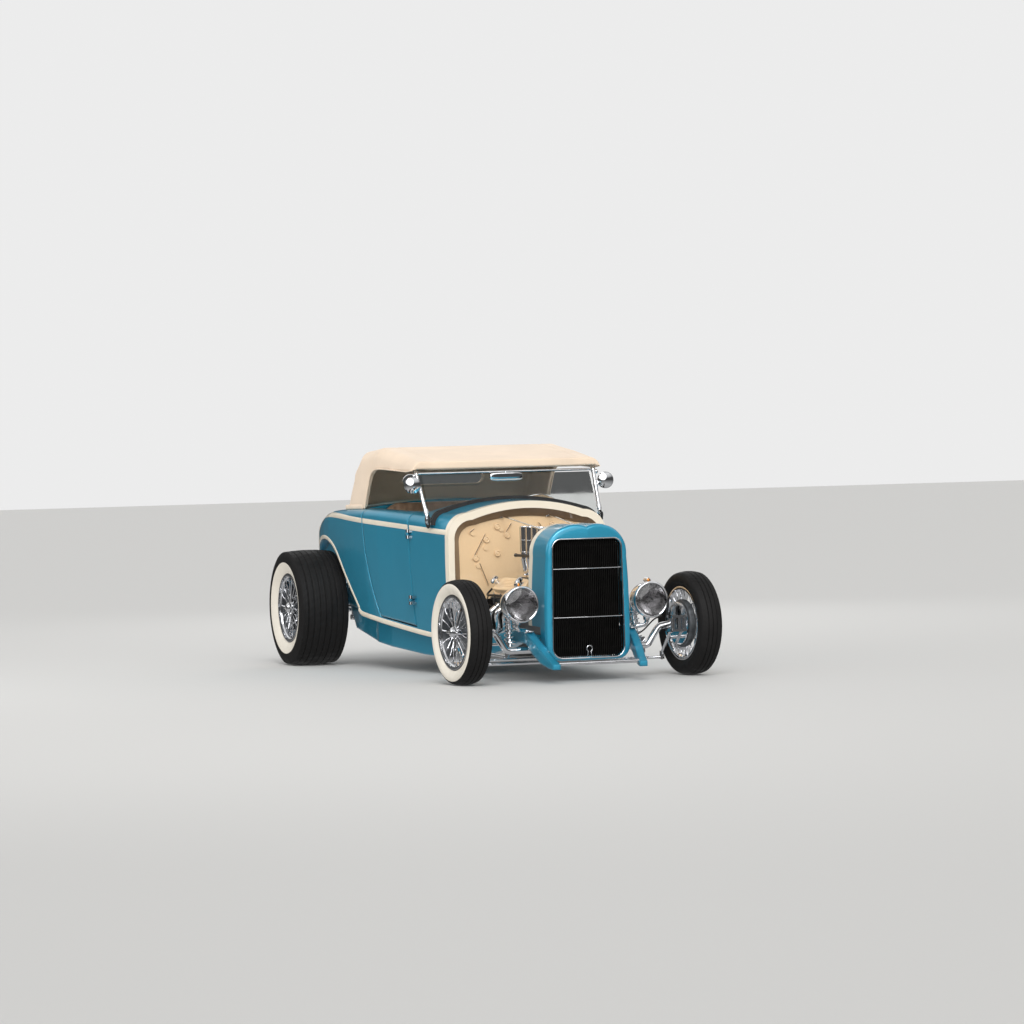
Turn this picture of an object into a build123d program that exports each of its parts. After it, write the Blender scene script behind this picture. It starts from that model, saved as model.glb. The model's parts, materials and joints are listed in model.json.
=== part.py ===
from build123d import *
import math
import os

# Street rod roadster, in millimetres. +Z is up and the nose points to -Y, so the car's right is -X.
# Stations along Y are measured rearward from the front axle, and the ground is at Z 0.
# Finished pieces move forward by MIDDLE, so that the origin lies on the ground under the middle.

# Stance
WHEELBASE = 2692.0
FRONT_TRACK = 1430.0
REAR_TRACK = 1520.0
MIDDLE = 1354.0
STEER_SHOWN = 3.6

# Tyres and rims
FRONT_TYRE_R = 304.0
FRONT_TYRE_WIDTH = 145.0
REAR_TYRE_R = 363.5
REAR_TYRE_WIDTH = 320.0
BEAD_R = 204.0
RIM_WALL = 5.0
FRONT_RIM_WIDTH = 118.0
REAR_RIM_WIDTH = 276.0
FLANGE_R = 216.0
HUB_R = 38.0
SPINDLE_R = 17.0
SPOKES_PER_ROW = 15
SPOKE_R = 3.2
DRUM_R = 138.0
DRUM_WIDTH = 42.0

# Fits
RUNNING_FIT = 0.3
SEAT_GAP = 0.3
PANEL_GAP = 0.8

# Body shell
WALL = 45.0
DOOR_GAP = 8.0
DOOR_SILL = 34.0
DOOR_FRONT_LIFT = 6.0
COCKPIT_FRONT = 1165.0
COCKPIT_REAR = 2040.0
EDGE_ROLL = 22.0
ARCH_R = 430.0
ARCH_FLARE = 44.0
WELL_INNER = 560.0
WELL_WALL = 6.0
# station, sill half width, sill height, belt half width, belt height, top half width, top height, crown
BODY = [
    (765, 482, 215, 504, 815, 360, 975, 1034),
    (1140, 531, 242, 552, 869, 491, 970, 1045),
    (1520, 578, 279, 600, 899, 562, 978, 1046),
    (1900, 622, 321, 646, 921, 604, 989, 1042),
    (2260, 632, 358, 657, 920, 599, 985, 1031),
    (2580, 627, 391, 654, 909, 577, 972, 1011),
    (2800, 604, 416, 632, 862, 538, 938, 968),
    (2960, 560, 440, 592, 790, 480, 880, 905),
    (3040, 500, 480, 545, 620, 430, 700, 715),
]

# Doors, hinged at their front edges
HINGE_X = 584.0
HINGE_LOW = (1246.0, 446.0)
HINGE_HIGH = (1272.0, 844.0)
HINGE_R = 9.0
HINGE_LENGTH = 56.0
DOOR_REAR_TOP = (1936.0, 1010.0)
DOOR_REAR_MID = (1868.0, 660.0)
DOOR_REAR_LOW = (1722.0, 330.0)

# Decklid, hinged at its front edge
DECKLID_HALF = 400.0
DECKLID_FRONT = 2440.0
DECKLID_HINGE_Z = 1046.0
DECKLID_REACH = 520.0
DECKLID_GAP = 6.0

# Grille shell
SHELL_FRONT = -152.0
SHELL_NOSE = -198.0
SHELL_REAR = 92.0
SHELL_HALF = 262.0
SHELL_SHOULDER = 250.0
SHELL_LOW = 124.0
SHELL_TOP = 908.0
SHELL_DIP = 14.0
OPENING_HALF = 220.0
OPENING_LOW = 140.0
OPENING_TOP = 822.0
GRILLE_PITCH = 12.0
GRILLE_BAR = 3.0

# Frame rails: station, outer half width, bottom, top
RAIL_WIDTH = 48.0
RAIL = [
    (-353, 292, 84, 112),
    (-300, 300, 92, 142),
    (-220, 318, 118, 196),
    (-130, 332, 168, 250),
    (-50, 340, 226, 296),
    (60, 347, 228, 304),
    (220, 358, 186, 286),
    (500, 392, 130, 236),
    (780, 440, 106, 210),
    (1250, 492, 114, 246),
    (1700, 548, 146, 294),
    (1920, 560, 166, 318),
    (1990, 546, 172, 328),
    (2400, 540, 236, 400),
    (2570, 540, 438, 520),
    (2840, 540, 440, 525),
    (2950, 530, 445, 500),
]

# Front axle and steering
KINGPIN_X = 600.0
KINGPIN_R = 11.0
AXLE_Z = 185.0
AXLE_R = 20.0
AXLE_STRAIGHT = 440.0
BOSS_R = 21.0
BOSS_HEIGHT = 64.0
TIE_ARM = 146.0
TIE_Z = 102.0
DRAG_ARM = 84.0
DRAG_Z = 129.0
LINK_R = 9.0
PITMAN_X = 262.0
PITMAN_Y = 62.0
COLUMN_X = 330.0
COLUMN_LOW = (700.0, 470.0)
COLUMN_HIGH = (1500.0, 890.0)
COLUMN_R = 19.0
STEERING_WHEEL_R = 172.0
STEERING_RATIO = 15.0

# Engine: crankshaft height, bank angle and length of the heads
CRANK_Z = 300.0
BANK = 45.0
HEAD_FRONT = 150.0
HEAD_REAR = 672.0
STACK_R = 27.0
STACK_LOW = 700.0
STACK_TOP = 886.0
STACK_X = 98.0
STACK_PITCH = 92.0
STACK_FIRST = 282.0

# Lamps
LAMP_X = 403.0
LAMP_Z = 457.0
LAMP_FACE = -171.0
LAMP_R = 107.0
LAMP_DEPTH = 205.0
LAMP_TIP_R = 6.0

# Plate base with its four bolt holes, on the flat of the tail
PLATE_HALF = 155.0
PLATE_Z = 580.0
PLATE_HOLE_X = 178.0
PLATE_HOLE_Z = 121.0
PLATE_HOLE_R = 3.5

# Windshield and soft top
POST_LOW = (995.0, 972.0)
POST_HIGH = (1127.0, 1216.0)
POST_X_LOW = 556.0
POST_X_HIGH = 572.0
POST_R = 11.0
TOP_HALF = 610.0
TOP_THICK = 24.0
TOP_EDGE = 66.0
HEADER_Y = 1085.0
REAR_PANE_Z = 1160.0
REAR_PANE_R = 36.0
MIRROR = (622.0, 1049.0, 1140.0)
MIRROR_R = 50.0

os.makedirs("parts", exist_ok=True)


def keep(name, shape):
    """Write one sub-part, moved so that the origin lies under the car's middle."""
    solids = [Pos(0, -MIDDLE, 0) * one for one in solids_of(shape)]
    export_step(solids[0] if len(solids) == 1 else Compound(solids), f"parts/{name}.step")


def block(x0, x1, y0, y1, z0, z1):
    return Pos((x0 + x1) / 2, (y0 + y1) / 2, (z0 + z1) / 2) * Box(x1 - x0, y1 - y0, z1 - z0)


def bar(start, end, radius):
    """A round bar between two points."""
    a, b = Vector(*start), Vector(*end)
    plane = Plane(origin=a, z_dir=(b - a).normalized())
    return extrude(plane * Circle(radius), (b - a).length)


def bent_bar(points, bend, radius):
    """A round bar along straight runs joined by tangent arcs."""
    path = FilletPolyline(*points, radius=bend)
    plane = Plane(origin=path @ 0, z_dir=path % 0)
    return sweep(plane * Circle(radius), path=path)


def mirrored(shape):
    return mirror(shape, about=Plane.YZ)


def pair(shape):
    """A solid and its mirror image on the car's other side, which don't touch."""
    return Compound([*solids_of(shape), *solids_of(mirrored(shape))])


def solids_of(shape):
    return [Solid(s.wrapped) for s in shape.solids()]


def side_prism(points, x0, x1):
    """A side outline, as station and height pairs, carried across the car."""
    outline = Polyline(*[(x0, y, z) for y, z in points], close=True)
    return extrude(make_face(outline), x1 - x0, dir=(1, 0, 0))


def along(table, column, station):
    """The table's value in a column at a station, straight between rows."""
    for low, high in zip(table, table[1:]):
        if station <= high[0]:
            share = (station - low[0]) / (high[0] - low[0])
            return low[column] + share * (high[column] - low[column])
    return table[-1][column]


# Body sections: sides with a slight swell, a quarter round shoulder and a gently arched crown

def body_wire(row, inset, drop):
    y, sill_half, sill_z, belt_half, belt_z, top_half, top_z, crown = row
    swell = 9.0
    low = (sill_half - inset, sill_z - drop)
    belt = (belt_half - inset, belt_z - inset * 0.3)
    top = (top_half - inset * 0.6, top_z - inset)
    side_mid = ((low[0] + belt[0]) / 2 + swell, (low[1] + belt[1]) / 2)
    corner_mid = (top[0] + (belt[0] - top[0]) * 0.72, belt[1] + (top[1] - belt[1]) * 0.72)

    def at(point, side=1):
        return (side * point[0], y, point[1])

    edges = [
        Edge.make_line(at(low, -1), at(low)),
        Edge.make_three_point_arc(at(low), at(side_mid), at(belt)),
        Edge.make_three_point_arc(at(belt), at(corner_mid), at(top)),
        Edge.make_three_point_arc(at(top), (0, y, crown - inset), at(top, -1)),
        Edge.make_three_point_arc(at(top, -1), at(corner_mid, -1), at(belt, -1)),
        Edge.make_three_point_arc(at(belt, -1), at(side_mid, -1), at(low, -1)),
    ]
    return Wire(edges)


def with_midpoints(rows):
    """The rows with one more half-way between neighbours, on a smooth curve through each column."""
    def rise(low, high, column):
        return (high[column] - low[column]) / (high[0] - low[0])

    def slope(index, column):
        before = rise(*rows[max(index - 1, 0):][:2], column)
        after = rise(*rows[min(index, len(rows) - 2):][:2], column)
        return 2 * before * after / (before + after) if before * after > 0 else 0.0

    full = [rows[0]]
    for index, (low, high) in enumerate(zip(rows, rows[1:])):
        step = high[0] - low[0]
        middle = [(low[0] + high[0]) / 2]
        for column in range(1, len(low)):
            lift = step / 8 * (slope(index, column) - slope(index + 1, column))
            middle.append((low[column] + high[column]) / 2 + lift)
        full += [tuple(middle), high]
    return full


def body_solid(inset=0.0, front_shift=0.0, rear_shift=0.0, drop=0.0):
    shifts = [front_shift] + [0.0] * (len(BODY) - 2) + [rear_shift]
    rows = with_midpoints([(row[0] + shift, *row[1:]) for row, shift in zip(BODY, shifts)])
    return Solid.make_loft([body_wire(row, inset, drop) for row in rows], ruled=True)


def arch_cutter(grow, x0, x1):
    """The rear wheel arch: a round top with a straight flare down to the sill."""
    radius = ARCH_R + grow
    lean = math.radians(ARCH_FLARE)
    centre = (WHEELBASE, REAR_TYRE_R)
    touch = (centre[0] - radius * math.sin(lean), centre[1] + radius * math.cos(lean))
    fall = touch[1] - 240
    foot = (touch[0] - fall / math.tan(lean), 240)
    flare = [touch, foot, (centre[0] + radius, 240), (centre[0] + radius, centre[1]), centre]
    round_top = bar((x0, *centre), (x1, *centre), radius)
    return side_prism(flare, x0, x1) + round_top


def hinge_pin(z):
    """The hinge axis leans back with height: its station at a height."""
    slope = (HINGE_HIGH[0] - HINGE_LOW[0]) / (HINGE_HIGH[1] - HINGE_LOW[1])
    return HINGE_LOW[0] + slope * (z - HINGE_LOW[1])


def door_outline(grow, lift=0.0):
    """The door's side outline between its hinge line and its curved rear shut line.
    A lift raises the lower front corner, which sinks towards the sill as the door opens."""
    slope = (HINGE_HIGH[0] - HINGE_LOW[0]) / (HINGE_HIGH[1] - HINGE_LOW[1])
    front = HINGE_LOW[0] + 4 - grow
    low_front = (front, along(BODY, 2, front) + DOOR_SILL - grow + lift)
    low_rear_y = DOOR_REAR_LOW[0] + grow
    low_rear = (low_rear_y, along(BODY, 2, low_rear_y) + DOOR_SILL - grow)
    high = 1100.0
    top_front = (front + slope * (high - low_front[1]), high)
    mid = (DOOR_REAR_MID[0] + grow, DOOR_REAR_MID[1])
    top = (DOOR_REAR_TOP[0] + grow, DOOR_REAR_TOP[1])

    def at(point):
        return (0, *point)

    wire = Wire([
        Edge.make_line(at(low_front), at(low_rear)),
        Edge.make_three_point_arc(at(low_rear), at(mid), at(top)),
        Edge.make_line(at(top), at((top[0], high))),
        Edge.make_line(at((top[0], high)), at(top_front)),
        Edge.make_line(at(top_front), at(low_front)),
    ])
    return extrude(Face(wire), 900, dir=(1, 0, 0))


outer = body_solid()
inner = body_solid(inset=WALL, front_shift=-60, rear_shift=-WALL, drop=120)
skin = body_solid(inset=-SEAT_GAP)
cavity = body_solid(inset=WALL + PANEL_GAP, front_shift=-60, rear_shift=-WALL - PANEL_GAP, drop=120)

wells = arch_cutter(WELL_WALL, WELL_INNER - WELL_WALL, 800)
well_space = arch_cutter(0, WELL_INNER, 800)
shell = outer - (inner - wells - mirrored(wells))
shell -= well_space
shell -= mirrored(well_space)

cockpit_rows = [COCKPIT_FRONT, 1400, 1700, COCKPIT_REAR]
cockpit_side = [(along(BODY, 5, y) - EDGE_ROLL, y) for y in cockpit_rows]
cockpit_plan = cockpit_side + [(-x, y) for x, y in reversed(cockpit_side)]
cockpit_face = make_face(Polyline(*cockpit_plan, close=True))
cockpit = extrude(Pos(0, 0, 700) * cockpit_face, 600)
shell -= cockpit

door_space = door_outline(DOOR_GAP)
door_fill = door_outline(0, DOOR_FRONT_LIFT)
door_left = shell & door_fill
door_right = mirrored(door_left)
shell -= door_space
shell -= mirrored(door_space)

# The decklid's rear shut line is a cylinder about its hinge, so that it swings clear
lid_pin = (DECKLID_FRONT, DECKLID_HINGE_Z)
lid_disc = bar((-DECKLID_HALF, *lid_pin), (DECKLID_HALF, *lid_pin), DECKLID_REACH)
lid_prism = lid_disc & block(-DECKLID_HALF, DECKLID_HALF, DECKLID_FRONT + 4, 3200, 560, 1200)
lid_half_open = DECKLID_HALF + DECKLID_GAP
lid_disc_open = bar((-lid_half_open, *lid_pin), (lid_half_open, *lid_pin), DECKLID_REACH + DECKLID_GAP)
lid_front_open = DECKLID_FRONT + 4 - DECKLID_GAP
lid_space = lid_disc_open & block(-lid_half_open, lid_half_open, lid_front_open, 3200, 560, 1200)
decklid = shell & lid_prism
shell -= lid_space

cowl_zone = side_prism([(600, 0), (hinge_pin(0), 0), (hinge_pin(1300), 1300), (600, 1300)], -900, 900)
cowl = shell & cowl_zone
tub = shell - cowl_zone

keep("cowl", cowl)
keep("body_tub", tub)
keep("decklid", decklid)


# Doors carry a hinge leaf each, which lies on the skin

def hinge_pieces(height):
    """A hinge's fixed barrel ends with the cowl leaf, and the door's middle barrel with its leaf."""
    half, third = HINGE_LENGTH / 2, HINGE_LENGTH / 6

    def barrel(z0, z1, radius):
        return bar((HINGE_X, hinge_pin(z0), z0), (HINGE_X, hinge_pin(z1), z1), radius)

    y = hinge_pin(height)
    fixed = barrel(height - half, height - third, HINGE_R) + barrel(height + third, height + half, HINGE_R)
    fixed += barrel(height - half, height + half, HINGE_R * 0.4)
    for z0, z1 in [(height - half, height - third), (height + third, height + half)]:
        fixed += block(540, HINGE_X, y - 34, y - 2, z0 + 1, z1 - 1) - skin
    moving = barrel(height - third + 1, height + third - 1, HINGE_R)
    moving -= barrel(height - half, height + half, HINGE_R * 0.4 + RUNNING_FIT)
    strap = block(550, HINGE_X, y + 2, y + 46, height - third + 1, height + third - 1)
    moving += strap - outer - barrel(height - half, height + half, HINGE_R * 0.4 + RUNNING_FIT)
    return fixed, moving


hinges_fixed, hinges_moving = zip(*[hinge_pieces(z) for z in (HINGE_LOW[1], HINGE_HIGH[1])])
door_left = door_left + hinges_moving[0] + hinges_moving[1]
keep("door_left", door_left)
keep("door_right", mirrored(door_left))
keep("door_hinges", pair(Compound([*solids_of(hinges_fixed[0]), *solids_of(hinges_fixed[1])])))

# Floor, tunnel and trunk floor fill the body between its walls
FIREWALL_Y = 815.0
FIREWALL_THICK = 8.0
FLOOR_THICK = 8.0
TUNNEL_R = 150.0
FLOOR_FRONT = FIREWALL_Y + FIREWALL_THICK + SEAT_GAP
floor_line = [(FLOOR_FRONT, 262), (1180, 286), (1960, 356), (2100, 372), (2230, 560), (2940, 596)]
floor_side = floor_line + [(y, z - FLOOR_THICK) for y, z in reversed(floor_line)]
well_hole = arch_cutter(WELL_WALL + PANEL_GAP, WELL_INNER - WELL_WALL - PANEL_GAP, 800)
tunnel_line = [(0, 700, 280), (0, 2130, 350)]
floor = (side_prism(floor_side, -640, 640) & cavity) - well_hole - mirrored(well_hole)
tunnel = bar(*tunnel_line, TUNNEL_R) - bar(*tunnel_line, TUNNEL_R - FLOOR_THICK)
under_floor = [(700, 0), (700, 247), (1180, 282), (1960, 352), (2100, 368)]
under_floor += [(2140, 410), (2300, 410), (2300, 0)]
tunnel -= side_prism(under_floor, -200, 200)
tunnel -= block(-200, 200, 600, FLOOR_FRONT, 0, 600)
floor = floor - bar(*tunnel_line, TUNNEL_R - FLOOR_THICK / 2) + tunnel
keep("floor_panel", floor)

# Firewall: a plate set back in the cowl, with pressed round dimples
firewall = block(-600, 600, FIREWALL_Y, FIREWALL_Y + FIREWALL_THICK, 240, 1100) & cavity
firewall -= bar((0, 700, 285), (0, 900, 285), TUNNEL_R - FLOOR_THICK)
dimples = [(330, 850), (250, 760), (300, 655), (150, 870)]
for side in (-1, 1):
    for x, z in dimples:
        firewall += bar((side * x, FIREWALL_Y + 1, z), (side * x, FIREWALL_Y - 7, z), 17)
column_line = [(COLUMN_X, *COLUMN_LOW), (COLUMN_X, *COLUMN_HIGH)]
firewall -= bar(*column_line, COLUMN_R + 6)
keep("firewall", firewall)


# Frame rails, crossmembers and the spreader bar between the horns

def rail_wire(row, side):
    y, half, low, high = row
    corners = [(half, low), (half, high), (half - RAIL_WIDTH, high), (half - RAIL_WIDTH, low)]
    return Wire(Polyline(*[(side * x, y, z) for x, z in corners], close=True).edges())


rail_left = Solid.make_loft([rail_wire(row, 1) for row in RAIL], ruled=True)
rails = [rail_left, mirrored(rail_left)]
keep("frame_rail_left", rails[0])
keep("frame_rail_right", rails[1])

# station, length, bottom, top
CROSSMEMBERS = [
    (-36, 72, 246, 272),
    (1150, 60, 130, 160),
    (1940, 60, 190, 230),
    (2745, 50, 482, 520),
    (2900, 40, 446, 480),
]
members = []
for station, length, low, high in CROSSMEMBERS:
    member = block(-560, 560, station, station + length, low, high)
    member_half = along(RAIL, 1, station) - 4
    member &= block(-member_half, member_half, station, station + length, low, high)
    members += solids_of(member - rails[0] - rails[1])
keep("crossmembers", Compound([m for m in members if m.volume > 1e5]))

SPREADER_Y, SPREADER_Z, SPREADER_R = -326.0, 116.0, 12.0
spreader_half = along(RAIL, 1, SPREADER_Y) - RAIL_WIDTH - 1
spreader = bar((-spreader_half, SPREADER_Y, SPREADER_Z), (spreader_half, SPREADER_Y, SPREADER_Z), SPREADER_R)
keep("spreader_bar", spreader - rails[0] - rails[1])

# Front axle: a straight centre with dropped ends up to the kingpin bosses, and two spring perches
end_in = KINGPIN_X - BOSS_R + 4
PERCH_X, PERCH_TOP = 262.0, 214.0
axle_drop = (-AXLE_STRAIGHT - 70, 0, FRONT_TYRE_R - 14)
axle_path = [(-end_in, 0, FRONT_TYRE_R), axle_drop, (-AXLE_STRAIGHT, 0, AXLE_Z)]
axle_points = axle_path + [(-x, y, z) for x, y, z in reversed(axle_path)]
axle = bent_bar(axle_points, 34, AXLE_R)
boss_low, boss_high = FRONT_TYRE_R - BOSS_HEIGHT / 2, FRONT_TYRE_R + BOSS_HEIGHT / 2
for side in (-1, 1):
    axle += bar((side * KINGPIN_X, 0, boss_low), (side * KINGPIN_X, 0, boss_high), BOSS_R)
    axle -= bar((side * KINGPIN_X, 0, 200), (side * KINGPIN_X, 0, 400), KINGPIN_R + RUNNING_FIT)
    axle += bar((side * PERCH_X, 0, AXLE_Z), (side * PERCH_X, 0, PERCH_TOP), 18)
keep("front_axle", axle)

# Leaf spring across the car above the axle, hairpin radius rods outside the rails, and the shocks
LEAF_THICK = 8.0
leaf_top = CROSSMEMBERS[0][2] - SEAT_GAP
spring = None
for leaf, half in enumerate((285, 215, 145, 80)):
    low = PERCH_TOP + SEAT_GAP + leaf * LEAF_THICK
    high = min(low + LEAF_THICK + 0.5, leaf_top)
    leaf_shape = block(-half, half, -24, 24, low, high)
    spring = leaf_shape if spring is None else spring + leaf_shape
ROD_X, ROD_END = 424.0, (470.0, 800.0, 176.0)
suspension = solids_of(spring)
for side in (-1, 1):
    eye = (side * ROD_END[0], ROD_END[1], ROD_END[2])
    bat = block(-9, 9, AXLE_R + SEAT_GAP, AXLE_R + 26, AXLE_Z - 44, AXLE_Z + 48)
    rod = Pos(side * ROD_X, 0, 0) * bat
    for z in (AXLE_Z - 36, AXLE_Z + 40):
        rod += bar((side * ROD_X, AXLE_R + 18, z), eye, 9)
    eye_in, eye_out = side * (ROD_END[0] - 22), side * (ROD_END[0] + 14)
    rod += bar((eye_in, *ROD_END[1:]), (eye_out, *ROD_END[1:]), 16)
    rod -= rails[0]
    rod -= rails[1]
    suspension += [max(solids_of(rod), key=lambda one: one.volume)]
    low_eye = (side * 398, 54, AXLE_Z + 20)
    high_eye = (side * 384, 100, 430)
    shock = bar(low_eye, high_eye, 13)
    mid = [a + (b - a) * 0.45 for a, b in zip(low_eye, high_eye)]
    shock += bar(mid, high_eye, 23)
    shock += bar((side * 352, 100, 430), (side * 400, 100, 430), 12)
    suspension += solids_of(shock)
keep("front_suspension", Compound(suspension))


def steered(shape, side):
    """Turned with the front wheels, as they stand, about that side's kingpin."""
    pivot = Pos(side * KINGPIN_X, 0, 0)
    return pivot * Rot(0, 0, STEER_SHOWN) * pivot.inverse() * shape


def steered_shift(arm):
    """How far the rear end of a steering arm has moved in the steered stance."""
    angle = math.radians(STEER_SHOWN)
    return Pos(arm * -math.sin(angle), arm * (math.cos(angle) - 1), 0)


# Knuckles: two lugs around the axle's boss, a kingpin, a spindle, a backing plate and steering arms
LUG = 15.0
SPINDLE_END = FRONT_TRACK / 2 + 38


def knuckle(arms):
    lug_gap = 1.0
    low = block(KINGPIN_X - 24, KINGPIN_X + 42, -22, 22, boss_low - lug_gap - LUG, boss_low - lug_gap)
    high = block(KINGPIN_X - 24, KINGPIN_X + 42, -22, 22, boss_high + lug_gap, boss_high + lug_gap + LUG)
    web = block(KINGPIN_X + 26, KINGPIN_X + 42, -22, 22, boss_low - lug_gap - LUG, boss_high + lug_gap + LUG)
    body = low + high + web
    body += bar((KINGPIN_X, 0, boss_low - 14), (KINGPIN_X, 0, boss_high + 14), KINGPIN_R)
    body += bar((KINGPIN_X + 30, 0, FRONT_TYRE_R), (SPINDLE_END, 0, FRONT_TYRE_R), SPINDLE_R)
    body += bar((KINGPIN_X + 36, 0, FRONT_TYRE_R), (KINGPIN_X + 42, 0, FRONT_TYRE_R), DRUM_R - 12)
    for length, z in arms:
        foot = boss_low - lug_gap - LUG
        bend = [(KINGPIN_X, 0, foot + 6), (KINGPIN_X, 34, foot - 4), (KINGPIN_X, length, z + 26)]
        body += bent_bar(bend, 12, 9)
        body += bar((KINGPIN_X, length, z + 11), (KINGPIN_X, length, z + 36), 13)
        body += bar((KINGPIN_X, length, z - 14), (KINGPIN_X, length, z + 12), 5)
    return body


left_knuckle = knuckle([(TIE_ARM, TIE_Z)])
right_knuckle = knuckle([(TIE_ARM, TIE_Z), (DRAG_ARM, DRAG_Z)])
keep("knuckle_left", steered(left_knuckle, 1))
keep("knuckle_right", steered(mirrored(right_knuckle), -1))


def link(start, end, radius):
    """A steering link: a rod with an eye at each end, bored for its pins."""
    rod = bar(start, end, radius)
    for x, y, z in (start, end):
        rod += bar((x, y, z - 10), (x, y, z + 10), 15)
    for x, y, z in (start, end):
        rod -= bar((x, y, z - 20), (x, y, z + 20), 5 + RUNNING_FIT)
    return rod


tie_rod = link((-KINGPIN_X, TIE_ARM, TIE_Z), (KINGPIN_X, TIE_ARM, TIE_Z), LINK_R)
keep("tie_rod", steered_shift(TIE_ARM) * tie_rod)
drag_link = link((-KINGPIN_X, DRAG_ARM, DRAG_Z), (PITMAN_X, PITMAN_Y + DRAG_ARM, DRAG_Z), LINK_R)
keep("drag_link", steered_shift(DRAG_ARM) * drag_link)

# Steering box inside the left rail, with its pitman arm
BOX_LOW, BOX_HIGH = 176.0, 262.0
pitman = bar((PITMAN_X, PITMAN_Y, DRAG_Z + 14), (PITMAN_X, PITMAN_Y, BOX_LOW + 30), 12)
pitman += block(PITMAN_X - 11, PITMAN_X + 11, PITMAN_Y, PITMAN_Y + DRAG_ARM, DRAG_Z + 14, DRAG_Z + 26)
pitman += bar((PITMAN_X, PITMAN_Y + DRAG_ARM, DRAG_Z + 11), (PITMAN_X, PITMAN_Y + DRAG_ARM, DRAG_Z + 26), 13)
pitman += bar((PITMAN_X, PITMAN_Y + DRAG_ARM, DRAG_Z - 14), (PITMAN_X, PITMAN_Y + DRAG_ARM, DRAG_Z + 20), 5)
pitman_turned = Rot(0, 0, STEER_SHOWN) * Pos(-PITMAN_X, -PITMAN_Y, 0) * pitman
keep("pitman_arm", Pos(PITMAN_X, PITMAN_Y, 0) * pitman_turned)
box = block(PITMAN_X - 34, 300, PITMAN_Y - 22, PITMAN_Y + 60, BOX_LOW, BOX_HIGH) - rails[0]
box -= bar((PITMAN_X, PITMAN_Y, 100), (PITMAN_X, PITMAN_Y, BOX_LOW + 31), 12 + RUNNING_FIT)
keep("steering_box", max(solids_of(box), key=lambda one: one.volume))

# Steering column tube, its shaft down to the box, and the wheel on top
column = bar(*column_line, COLUMN_R)
shaft = [(COLUMN_X, *COLUMN_LOW), (358, 640, 436), (358, 200, 330)]
shaft += [(276, 100, 306), (276, 100, BOX_HIGH + SEAT_GAP)]
for start, end in zip(shaft, shaft[1:]):
    column += bar(start, end, 9)
for joint in shaft[:4]:
    column += Pos(*joint) * Sphere(14)
COLUMN_RUN, COLUMN_RISE = COLUMN_HIGH[0] - COLUMN_LOW[0], COLUMN_HIGH[1] - COLUMN_LOW[1]
bush_low = (COLUMN_X, COLUMN_HIGH[0] - 60, COLUMN_HIGH[1] - 60 * COLUMN_RISE / COLUMN_RUN)
column = column - bar(bush_low, (COLUMN_X, *COLUMN_HIGH), 9 + RUNNING_FIT)
keep("steering_column", column)

column_axis = Vector(0, COLUMN_RUN, COLUMN_RISE).normalized()
wheel_plane = Plane(origin=(COLUMN_X, *COLUMN_HIGH), x_dir=(1, 0, 0), z_dir=column_axis)
wheel = Pos(0, 0, 26) * Torus(STEERING_WHEEL_R, 12)
wheel += Pos(0, 0, 13) * Cylinder(30, 22) + Pos(0, 0, -24) * Cylinder(9, 56)
for turn in (90, 210, 330):
    wheel += Rot(0, 0, turn) * Pos(STEERING_WHEEL_R / 2 + 4, 0, 19) * Box(STEERING_WHEEL_R - 26, 20, 5)
keep("steering_wheel", wheel_plane.location * Rot(0, 0, STEER_SHOWN * STEERING_RATIO) * wheel)


# Wheels: a tyre, and a rim with two crossing rows of wires to its hub, drum and two-eared spinner

def tyre(radius, width, rim_width):
    bead = rim_width / 2 - RIM_WALL
    half = width / 2
    shoulder = half - 14
    middle = (BEAD_R + radius) / 2
    top = radius - 9
    seat, lip = BEAD_R + SEAT_GAP, FLANGE_R + 3
    profile = Wire([
        Edge.make_line((-bead, seat, 0), (bead, seat, 0)),
        Edge.make_line((bead, seat, 0), (bead, lip, 0)),
        Edge.make_three_point_arc((bead, lip, 0), (half, middle + 8, 0), (shoulder, top, 0)),
        Edge.make_three_point_arc((shoulder, top, 0), (0, radius, 0), (-shoulder, top, 0)),
        Edge.make_three_point_arc((-shoulder, top, 0), (-half, middle + 8, 0), (-bead, lip, 0)),
        Edge.make_line((-bead, lip, 0), (-bead, seat, 0)),
    ])
    return revolve(Face(profile), Axis.X)


def rim(rim_width, hub_in, hub_out, drum_in):
    half = rim_width / 2
    points = [
        (-half, FLANGE_R), (-half + RIM_WALL - SEAT_GAP, FLANGE_R), (-half + RIM_WALL - SEAT_GAP, BEAD_R),
        (half - RIM_WALL + SEAT_GAP, BEAD_R), (half - RIM_WALL + SEAT_GAP, FLANGE_R), (half, FLANGE_R),
        (half, BEAD_R - RIM_WALL), (-half, BEAD_R - RIM_WALL),
    ]
    ring = revolve(make_face(Polyline(*points, close=True)), Axis.X)
    hub = bar((hub_in, 0, 0), (hub_out, 0, 0), HUB_R)
    hub += bar((hub_out - 1, 0, 0), (hub_out + 26, 0, 0), 30)
    hub += bar((drum_in, 0, 0), (drum_in + DRUM_WIDTH, 0, 0), DRUM_R)
    for side in (-1, 1):
        ear_turn = 0 if side > 0 else 180
        hub += block(-7, 7, 22, 70, -9, 9).moved(Location((hub_out + 17, 0, 0), (ear_turn, 0, 0)))
    hub -= bar((hub_in - 200, 0, 0), (hub_out + 6, 0, 0), SPINDLE_R + RUNNING_FIT)
    wheel = ring + hub
    # row: hub station, rim station, turn between the wire's two ends
    rows = [(hub_out - 12, half - 34, 24), (hub_in + 12, half - 62, -24)]
    for hub_x, rim_x, lean in rows:
        for step in range(SPOKES_PER_ROW):
            turn = math.radians(360 / SPOKES_PER_ROW * step)
            far = turn + math.radians(lean)
            start = (hub_x, (HUB_R - 4) * math.cos(turn), (HUB_R - 4) * math.sin(turn))
            end_r = BEAD_R - 3
            wheel += wire(start, (rim_x, end_r * math.cos(far), end_r * math.sin(far)))
    return wheel


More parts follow.
